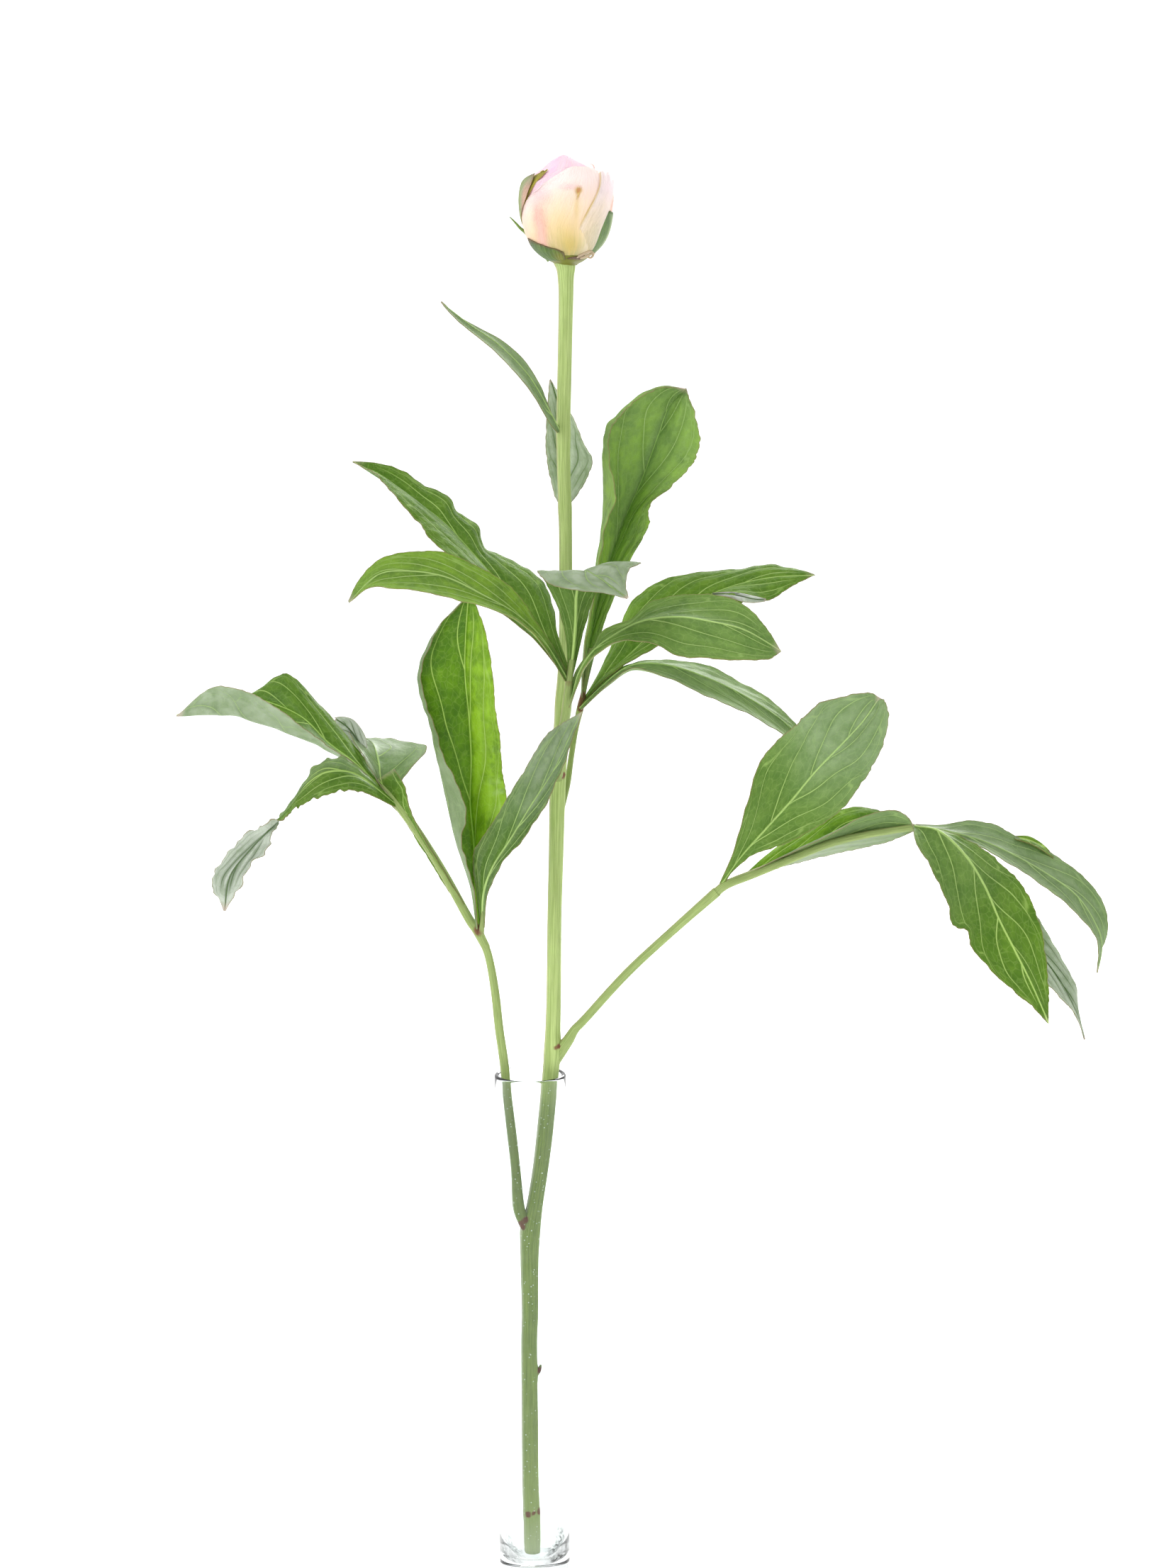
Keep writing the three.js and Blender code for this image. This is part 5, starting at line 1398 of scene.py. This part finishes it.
def add_petal(patchwork, left, right, crown=0.0, curl=0.0, ruffle=0.0, thickness=0.5, seed=0, tint=(0, 0, 0),
              blots=(), edge=0.0, rows=70, columns=60):
    """Adds a petal between two edges. With v from base to top and u from -1 to 1 across:
    share + crown (1 - u^2) v^3, and lift + curl v^6 + ruffle sin(waves) v^4. A blot adds to one of the
    three tints: strength exp(-((turn - t) / width)^2 - ((share - s) / height)^2)."""
    v, u = np.meshgrid(np.linspace(0, 1, rows), np.linspace(-1, 1, columns), indexing="ij")
    edges = rail(left, v[:, 0])[:, None], rail(right, v[:, 0])[:, None]
    over = (1 + u[..., None]) / 2
    turn, share, lift = np.moveaxis(edges[0] * (1 - over) + edges[1] * over, -1, 0)
    rng = np.random.default_rng(seed)
    swing = sum(np.sin(wide * u + rng.uniform(0, 6)) for wide in (3.1, 5.7, 9.3)) / 3
    share = share + crown * (1 - u**2) * v**3 + 0.006 * swing * v**6
    lift = lift + curl * v**6 + ruffle * swing * v**4 + 0.05 * np.sin(26 * u + 3 * swing) * (1 - v * 0.5)
    outer = on_bud(turn, share, lift)
    thin = thickness * (0.35 + 0.65 * (1 - v**3) * (1 - u**8))
    inner = outer - grid_normals(outer) * thin[..., None]
    grown = np.stack([u, v, np.ones_like(u)], -1)
    colour = np.tile(np.asarray(tint, float), (*u.shape, 1))
    for centre, height, wide, tall, channel, strength in blots:
        away = ((turn - centre) / wide) ** 2 + ((share - height) / tall) ** 2
        colour[..., channel] += strength * np.exp(-away)
    # Painted shade: a yellow-green streak down a petal's left edge, for the crease where it meets the petal
    # beside it.
    colour[..., 1] += edge * np.exp(-(((u + 1) / 0.15) ** 2)) * smooth_step(v, 0.2, 0.5)
    places = both_faces(grown, grown * (1, 1, 0))
    patchwork.add(*shell(outer, inner), petal=places, tint=both_faces(colour))


def add_plain(patchwork, rings, grown, tint):
    """Adds closed rings that have one place on the petal and one tint all over."""
    points, faces = closed_rings(rings)
    whole = (len(points), 1)
    patchwork.add(points, faces, petal=np.tile(grown, whole), tint=np.tile(tint, whole))


print("the bud is", BUD_HEIGHT, "mm tall")


# %% [markdown]
# ## Petal and sepal finishes
# The petals are cream with a yellow-green base and pink where a rim or a fold is exposed. Fine streaks
# run along each petal, and light passes through, so part of the mix is translucent. A painted glow is
# added as emission, and painted light whitens the rims and, in part, the brightest places.

# %% Petal finish
def petal_finish():
    """Cream with streaks along the petal; tint x is how pink a place is, y how yellow, z how white, which
    is partly the petal's own white and partly painted light. Some of the colour is given out again as a
    painted glow.
    """
    petal = Finish("petal_cream_and_pink")
    _, (u, v, _) = petal.attribute("petal")
    _, (pink, yellow, white) = petal.attribute("tint")
    place = petal.place()
    lengthways = petal.node("ShaderNodeCombineXYZ", {}, {0: u * 9, 1: v * 1.2, 2: pink * 3})
    streaks = petal.smooth(petal.noise(lengthways, 2.4), 0.3, 0.7)
    fine = petal.smooth(petal.noise(lengthways, 9.0), 0.3, 0.7)
    clouds = petal.smooth(petal.noise(place, 130.0), 0.35, 0.65)
    stops = [
        (0.08, seen(0.50, 0.59, 0.20)), (0.25, seen(0.72, 0.70, 0.35)), (0.42, seen(0.93, 0.86, 0.64)),
        (0.62, seen(0.98, 0.91, 0.80)), (0.88, seen(0.99, 0.93, 0.91)),
    ]
    height = v + 0.1 * streaks - 0.07 + 0.25 * (u - 0.3) ** 2
    colour = petal.node("ShaderNodeValToRGB", {"stops": stops}, {0: height})
    # Whitening by the tint's third number: partly the petal's own white and partly painted light where the
    # bud is brightest.
    colour = petal.blend(white * (0.7 + 0.3 * clouds), colour, seen(1.0, 0.98, 0.975))
    rim = petal.smooth(abs(u) ** 6 + v ** 8, 0.35, 1.1)
    rosy = pink * (0.5 + 0.35 * clouds + 0.3 * streaks) + rim * 0.3 * pink
    rose = petal.blend(petal.smooth(v - yellow, 0.45, 0.85), seen(0.95, 0.73, 0.70), seen(0.97, 0.80, 0.92))
    colour = petal.blend(rosy, colour, rose)
    colour = petal.blend(yellow * (0.55 + 0.3 * streaks + 0.3 * fine), colour, seen(0.84, 0.74, 0.34))
    colour = petal.blend(petal.smooth(pink * yellow, 0.5, 1.8) * 0.85, colour, seen(0.87, 0.60, 0.35))
    # Painted highlight along the rims, plus a little white on the fine streaks.
    colour = petal.blend((rim * 0.35 + fine * 0.15) * (1 - yellow), colour, seen(1.0, 0.97, 0.96))
    normal = petal.bump(streaks * 0.5 + fine * 0.3 + clouds * 0.3, 0.25)
    # Painted glow: the petals give out light of their own, near white where the tint whitens them.
    painted_glow = petal.blend(white * 0.6, petal.blend(0.6, colour, (0, 0, 0, 1)), (0.9, 0.83, 0.85, 1))
    skin = petal.skin(
        Base_Color=colour, Roughness=0.5 + 0.1 * clouds, Normal=normal,
        Emission_Color=painted_glow, Emission_Strength=0.25,
    )
    return petal.surface(petal.thin(skin, seen(1.0, 0.95, 0.88), 0.22))


# %% Sepal finish
def sepal_finish():
    """Green with ribs along it and a maroon rim; tint x is how much maroon, y how olive, z how pale."""
    sepal = Finish("sepal_green_and_maroon")
    _, (u, v, _) = sepal.attribute("petal")
    _, (maroon, olive, pale) = sepal.attribute("tint")
    place = sepal.place()
    lengthways = sepal.node("ShaderNodeCombineXYZ", {}, {0: u * 8, 1: v * 0.7, 2: v * 0.5})
    ribs = sepal.smooth(sepal.noise(lengthways, 1.8), 0.35, 0.65)
    mottle = sepal.smooth(sepal.noise(place, 300.0), 0.3, 0.7)
    green = sepal.blend(ribs * 0.7 + mottle * 0.3, seen(0.18, 0.36, 0.07), seen(0.42, 0.57, 0.23))
    green = sepal.blend(olive, green, seen(0.76, 0.70, 0.17))
    green = sepal.blend(pale, green, seen(0.74, 0.79, 0.62))
    rim = sepal.smooth(abs(u) ** 6 + v ** 9, 0.3, 1.0) * 0.6 + (maroon - 0.9).math("MAXIMUM", 0.0)
    rosy = sepal.blend(pale, seen(0.42, 0.25, 0.21), seen(0.86, 0.68, 0.60))
    green = sepal.blend((rim * maroon).math("MINIMUM", 0.9), green, rosy)
    normal = sepal.bump(ribs * 0.8 + mottle * 0.3, 0.3)
    skin = sepal.skin(Base_Color=green, Roughness=0.4 + 0.15 * mottle, Normal=normal)
    return sepal.surface(sepal.thin(skin, seen(0.62, 0.74, 0.18), 0.2))


petal_cream, sepal_green = petal_finish(), sepal_finish()
print("finishes:", petal_cream.name, sepal_green.name)

# %% [markdown]
# ## Petals in place
# From the heart outward: a solid heart closes the bud, then the inner petals, and last the front and
# right petals, which lie over the others. Turn 270 faces the viewer and 180 is the left.

# %% Petals
HEART_LIFT = -0.7


def skin_rings(lift, sides=64, steps=48):
    """The bud's skin as closed rings, moved outward by a lift."""
    share, turn = np.linspace(0, SKIN_TOP, steps), np.linspace(0, 360, sides, endpoint=False)
    share, turn = np.meshgrid(share, turn, indexing="ij")
    return on_bud(turn, share, np.full_like(share, lift))


bud = Patchwork()
add_plain(bud, skin_rings(HEART_LIFT), (0.0, 0.8, 1.0), (0.2, 0.0, 0.6))
# A tint's third number whitens a petal: partly its own white and partly painted light where the bud is
# brightest.
PETALS = [
    # the top: two inner petals that meet over the heart
    dict(
        left=[(100, 0.05, -0.3), (100, 0.4, -0.3), (105, 0.7, -0.2), (120, 0.86, 0)],
        right=[(235, 0.05, -0.3), (245, 0.4, -0.3), (262, 0.7, -0.1), (275, 0.86, 0)],
        crown=0.1, tint=(0.8, 0, 0.1),
    ),
    dict(
        left=[(-60, 0.05, 0), (-55, 0.4, 0), (-52, 0.62, 0), (-48, 0.7, 0)],
        right=[(110, 0.05, 0), (115, 0.4, 0), (120, 0.7, 0), (120, 0.8, 0)],
        crown=0.06, ruffle=0.1, tint=(0.1, 0, 0.9),
    ),
    # pink petal over the top left, and a second one in front of it
    dict(
        left=[(150, 0.05, 0.2), (150, 0.3, 0.2), (160, 0.55, 0.2), (185, 0.74, 0.2)],
        right=[(300, 0.05, 0.2), (312, 0.4, 0.2), (318, 0.6, 0.3), (316, 0.71, 0.3)],
        crown=0.15, curl=0.3, ruffle=0.3, tint=(0.95, 0, 0.0),
    ),
    dict(
        left=[(150, 0.05, 0.6), (150, 0.3, 0.6), (172, 0.45, 0.6), (203, 0.56, 0.6), (224, 0.635, 0.7)],
        right=[(300, 0.05, 0.5), (315, 0.4, 0.5), (322, 0.6, 0.5), (318, 0.705, 0.4)],
        crown=0.07, curl=0.25, ruffle=0.2, tint=(0.75, 0, 0.1),
        blots=[(268, 0.745, 14, 0.012, 0, 0.6)],
    ),
    # back petals
    dict(
        left=[(70, 0.05, 0.5), (60, 0.3, 0.6), (62, 0.6, 0.6), (80, 0.74, 0.6)],
        right=[(160, 0.05, 0.5), (165, 0.3, 0.6), (165, 0.6, 0.5), (140, 0.74, 0.5)],
        crown=0.08, ruffle=0.2, tint=(0.5, 0, 0.2),
    ),
    dict(
        left=[(335, 0.05, 0.4), (343, 0.3, 0.7), (348, 0.42, 0.9), (352, 0.5, 1.2)],
        right=[(435, 0.05, 0.2), (452, 0.3, 0.3), (456, 0.6, 0.3), (444, 0.74, 0.4)],
        crown=0.05, ruffle=0.5, tint=(0.15, 0, 0.9),
    ),
    # front petal, and the narrow right petal that lies over its side, with painted shade in the crease along
    # its left edge
    dict(
        left=[
            (150, 0.04, 0.9), (150, 0.2, 1.1), (156, 0.34, 1.15), (181, 0.425, 1.15), (206, 0.51, 1.1),
            (232, 0.586, 1.1),
        ],
        right=[
            (330, 0.04, 0.8), (328, 0.2, 0.9), (322, 0.38, 0.7), (325, 0.58, 0.6), (326, 0.705, 0.7),
        ],
        crown=0.088, curl=0.35, ruffle=0.1, tint=(0.15, 0.1, 0.1),
        blots=[
            (230, 0.47, 9, 0.12, 0, 0.7), (234, 0.36, 9, 0.1, 0, 0.9), (227, 0.24, 10, 0.08, 0, 0.8),
            (192, 0.3, 22, 0.35, 0, 0.4), (242, 0.53, 10, 0.05, 0, 0.4), (262, 0.34, 22, 0.14, 1, 0.35),
            (276, 0.2, 14, 0.14, 1, 0.6), (312, 0.3, 14, 0.2, 2, 0.5), (282, 0.48, 3, 0.08, 1, 0.5),
            (285, 0.58, 3, 0.014, 0, 1.6), (285, 0.578, 3.5, 0.016, 1, 1.7),
            (284, 0.555, 1.2, 0.03, 0, 1.0), (284, 0.555, 1.2, 0.03, 1, 1.0),
            (272, 0.6, 12, 0.015, 0, 0.5), (250, 0.68, 60, 0.08, 2, 0.8),
        ],
    ),
    dict(
        left=[
            (306, 0.05, 0.1), (292, 0.2, 0.3), (287, 0.3, 0.6), (288, 0.373, 1.0), (297, 0.458, 1.0),
            (304, 0.513, 1.0), (312, 0.575, 1.1), (319, 0.64, 1.2), (324, 0.69, 1.3),
        ],
        right=[
            (330, 0.06, 1.0), (322, 0.2, 1.4), (319, 0.3, 1.6), (322, 0.38, 1.7), (330, 0.45, 1.7),
            (336, 0.5, 1.8), (341, 0.56, 2.2), (348, 0.62, 2.7), (357, 0.67, 3.1),
        ],
        crown=0.012, curl=0.3, ruffle=0.2, tint=(0.1, 0.0, 0.5), edge=1.0,
        blots=[
            (335, 0.6, 20, 0.1, 0, 0.3), (296, 0.3, 14, 0.22, 1, 0.3), (306, 0.14, 20, 0.1, 1, 0.6),
            (345, 0.62, 25, 0.14, 2, 0.8),
        ],
    ),
]
for number, petal in enumerate(PETALS):
    add_petal(bud, seed=number, **petal)
piece("bud", bud, [petal_cream], "bud_petals")

# %% [markdown]
# ## Calyx
# Under the petals the stem widens into a cup that carries the sepals. They are short and tough, with
# ribs along them and a maroon rim, and one has shrivelled.

# %% Calyx
CUP = [(4.0, -2.7), (4.9, -2.0), (6.8, -1.0), (8.8, 0.4), (9.8, 1.4), (8.5, 1.8), (4.0, 0.5)]
CUP_SIDES = 48
FIRST_SEPAL_SEED = 50
calyx = Patchwork()
cup = lathe_rings(rail(CUP, np.linspace(0, 1, 40)), CUP_SIDES) + BUD_FOOT
add_plain(calyx, cup, (0.0, 0.3, 1.0), (1.15, 0.3, 0.0))
SEPALS = [
    # olive sepal and pink-rimmed sepal at the left
    dict(
        left=[(140, 0.05, 0.9), (140, 0.3, 1.0), (158, 0.5, 1.2), (190, 0.65, 1.2), (222, 0.722, 1.1)],
        right=[
            (170, 0.05, 0.9), (172, 0.3, 1.0), (188, 0.42, 1.1), (206, 0.505, 1.2), (215, 0.56, 1.2),
            (223, 0.635, 1.2), (229, 0.68, 1.2), (233, 0.73, 1.2),
        ],
        tint=(0.2, 1.0, 0.1),
        blots=[(212, 0.55, 10, 0.05, 0, 0.9)],
    ),
    dict(
        left=[
            (135, 0.05, 1.0), (132, 0.2, 1.2), (138, 0.4, 2.0), (155, 0.56, 2.6), (188, 0.65, 2.6),
            (207, 0.684, 2.5),
        ],
        right=[
            (150, 0.05, 0.9), (156, 0.25, 1.0), (172, 0.37, 1.3), (190, 0.43, 1.6), (201, 0.475, 1.9),
            (209, 0.52, 2.0), (214, 0.57, 2.1), (218, 0.63, 2.3), (214, 0.688, 2.5),
        ],
        tint=(0.4, 0.3, 0.25),
        blots=[(210, 0.53, 16, 0.16, 0, 1.3), (210, 0.55, 15, 0.16, 2, 0.8)],
    ),
    # right sepal, tucked under the edge of the right petal
    dict(
        left=[
            (332, 0.12, 0.9), (322, 0.2, 1.1), (316, 0.3, 1.2), (317, 0.37, 1.2), (323, 0.42, 1.2),
            (333, 0.448, 1.2),
        ],
        right=[
            (345, 0.1, 1.1), (372, 0.2, 1.3), (385, 0.3, 1.3), (382, 0.38, 1.2), (365, 0.43, 1.2),
            (338, 0.452, 1.3),
        ],
        tint=(0.2, 0.0, 0.12),
        blots=[(354, 0.28, 8, 0.16, 2, 0.8)],
    ),
    # low sepals: green with a maroon rim, then maroon
    dict(
        left=[(178, 0.02, 1.9), (180, 0.09, 1.8), (185, 0.2, 1.6), (197, 0.293, 1.6)],
        right=[(268, 0.0, 1.9), (267, 0.05, 1.8), (266, 0.11, 1.5), (264, 0.165, 1.3)],
        tint=(1.0, 0.0, 0.0),
        blots=[(254, 0.1, 15, 0.07, 1, 0.45)],
    ),
    dict(
        left=[(250, 0.0, 1.9), (255, 0.04, 1.7), (261, 0.082, 1.4)],
        right=[(330, 0.0, 1.9), (324, 0.07, 1.7), (312, 0.13, 1.4)],
        tint=(1.5, 0.3, 0.0),
        blots=[(285, 0.08, 30, 0.06, 0, 0.6)],
    ),
    # back sepal
    dict(
        left=[(30, 0.05, 1.0), (22, 0.25, 1.2), (40, 0.42, 1.4), (66, 0.5, 1.5)],
        right=[(105, 0.05, 1.0), (112, 0.25, 1.2), (98, 0.42, 1.4), (72, 0.5, 1.5)],
        tint=(0.6, 0.0, 0.1),
    ),
]
for number, sepal in enumerate(SEPALS):
    add_petal(calyx, seed=FIRST_SEPAL_SEED + number, thickness=0.7, ruffle=0.1, **sepal)
SIDE_BRACT = [
    [11, 6, 566.8, 0.8], [8, 6.5, 571, 0.8], [3.7, 6.8, 575.6, 0.8], [1.3, 6.2, 578.6, 0.75],
    [-0.8, 5.5, 580.3, 0.6], [-3.2, 5, 583, 0.4], [-5.2, 4.5, 585, 0.15],
]
SHRIVELLED = [
    [
        [22.5, -8, 568.3, 0.5], [25.0, -8.6, 569.5, 0.7], [27.6, -8.4, 570.6, 0.6],
        [29.4, -7.6, 569.6, 0.5], [28.4, -7.8, 568.0, 0.4], [26.4, -8.4, 568.4, 0.3],
    ],
    [
        [24.0, -8.4, 567.8, 0.4], [26.2, -8.9, 568.4, 0.5], [28.2, -8.6, 569.4, 0.4],
        [30.2, -7.4, 569.9, 0.2],
    ],
    [
        [23.5, -8.0, 569.6, 0.35], [25.6, -8.8, 571.0, 0.4], [27.2, -8.6, 571.8, 0.3],
        [28.6, -8.0, 571.4, 0.15],
    ],
]
for line, tint in [(SIDE_BRACT, (0.2, 0.1, 0.1))] + [(curl, (1.35, 0.2, 1.0)) for curl in SHRIVELLED]:
    add_plain(calyx, tube_rings(line, 12, 0.4)[0], (0.0, 0.5, 1.0), tint)
piece("calyx_and_sepals", calyx, [sepal_green], "calyx")

# %% [markdown]
# ## Vase
# A straight tube of clear glass with a fire-polished lip, a round-bottomed well and a thick foot. One
# profile goes out along the foot, up the outside, over the lip and down into the well, so the wall is
# a real thickness of glass and light bends in it as it does in the real tube. Dark crescents in the bowl
# and faint dark streaks on the walls are painted shade: a dull dark shader, mixed in where the glass is
# seen edge-on.

# %% Vase
VASE_HEIGHT = 222.4
VASE_RADIUS = 15.4
VASE_WALL = 2.0
FOOT_ROUND = 2.2
WELL_FLOOR = 5.5
WELL_FLAT = 6.0
WELL_ROUND = 12.0
VASE_SIDES = 160
PINHOLE = 0.02
ROUNDED_END = 8


def arc(centre, radii, start, end, steps):
    """Points of an ellipse arc: centre + radii * (cos t, sin t), with t in degrees."""
    t = np.radians(np.linspace(start, end, steps))
    return np.stack([centre[0] + radii[0] * np.cos(t), centre[1] + radii[1] * np.sin(t)], -1)


lip, inner, well_top = VASE_WALL / 2, VASE_RADIUS - VASE_WALL, WELL_FLOOR + WELL_ROUND
profile = np.concatenate([
    [(PINHOLE, 0.0), (4.0, 0.0), (9.0, 0.0)],
    arc((VASE_RADIUS - FOOT_ROUND, FOOT_ROUND), (FOOT_ROUND, FOOT_ROUND), -90, 0, 12),
    [(VASE_RADIUS, z) for z in np.linspace(ROUNDED_END, VASE_HEIGHT - ROUNDED_END, 28)],
    arc((VASE_RADIUS - lip, VASE_HEIGHT - lip), (lip, lip), 0, 180, 16),
    [(inner, z) for z in np.linspace(VASE_HEIGHT - ROUNDED_END, well_top + 6, 26)],
    arc((WELL_FLAT, well_top), (inner - WELL_FLAT, WELL_ROUND), 0, -90, 24),
    [(3.0, WELL_FLOOR), (PINHOLE, WELL_FLOOR)],
])
vase = Patchwork()
vase.add(*closed_rings(lathe_rings(profile, VASE_SIDES)))
print("vase profile:", len(profile), "points")


# %% Glass finish
def glass_finish():
    """Clear glass with a dark shader mixed in as painted shade: mottled dark crescents in the bowl and
    dark streaks on the walls. The heights and radii that bound them are in metres, as the shader's
    places are."""
    clear = Finish("clear_glass")
    place = clear.place()
    x, y, height = clear.parts(place)
    radius = (x * x + y * y).math("SQRT")
    facing = clear.node("ShaderNodeLayerWeight", {}, {"Blend": 0.5}, 1)
    smudges = clear.smooth(clear.noise(place, 60.0), 0.45, 0.75)
    colour = clear.blend(smudges, (0.93, 0.97, 0.965, 1), (0.88, 0.92, 0.915, 1))
    # Painted shade: mottled dark crescents in the bowl, stronger on the right, kept off the middle and
    # strongest where the glass is seen edge-on.
    low = (1 - clear.smooth(height, 0.013, 0.022)) * clear.smooth(height, 0.004, 0.007)
    bowl = low * (1 - clear.smooth(radius, 0.0136, 0.0142))
    mottled = clear.smooth(clear.noise(place, 520.0, 4.0), 0.4, 0.62) * 0.65 + 0.35
    # Painted shade: faint dark streaks down the walls where they are seen edge-on.
    drawn_out = clear.noise(clear.stretched(place, (1, 1, 0.06)), 260.0)
    streaks = clear.smooth(drawn_out, 0.5, 0.66) * clear.smooth(facing, 0.45, 0.9) * 0.35
    right = clear.smooth(x, -0.004, 0.006) * 0.4 + 0.6
    sides = clear.smooth(abs(x), 0.003, 0.008)
    painted_glass_shade = (bowl * mottled * right * sides * clear.smooth(facing, 0.15, 0.5)).math("MAXIMUM", streaks)
    glass = clear.skin(
        Base_Color=colour, Roughness=0.0, IOR=1.5, Transmission_Weight=1.0,
        Specular_IOR_Level=0.2, Specular_Tint=(0.4, 0.4, 0.4, 1),
    )
    dull = clear.skin(Base_Color=(0.04, 0.042, 0.04, 1), Roughness=0.5, Specular_IOR_Level=0.1)
    return clear.surface(clear.mixed(painted_glass_shade, glass, dull))


piece("glass_vase", vase, [glass_finish()], "vase")
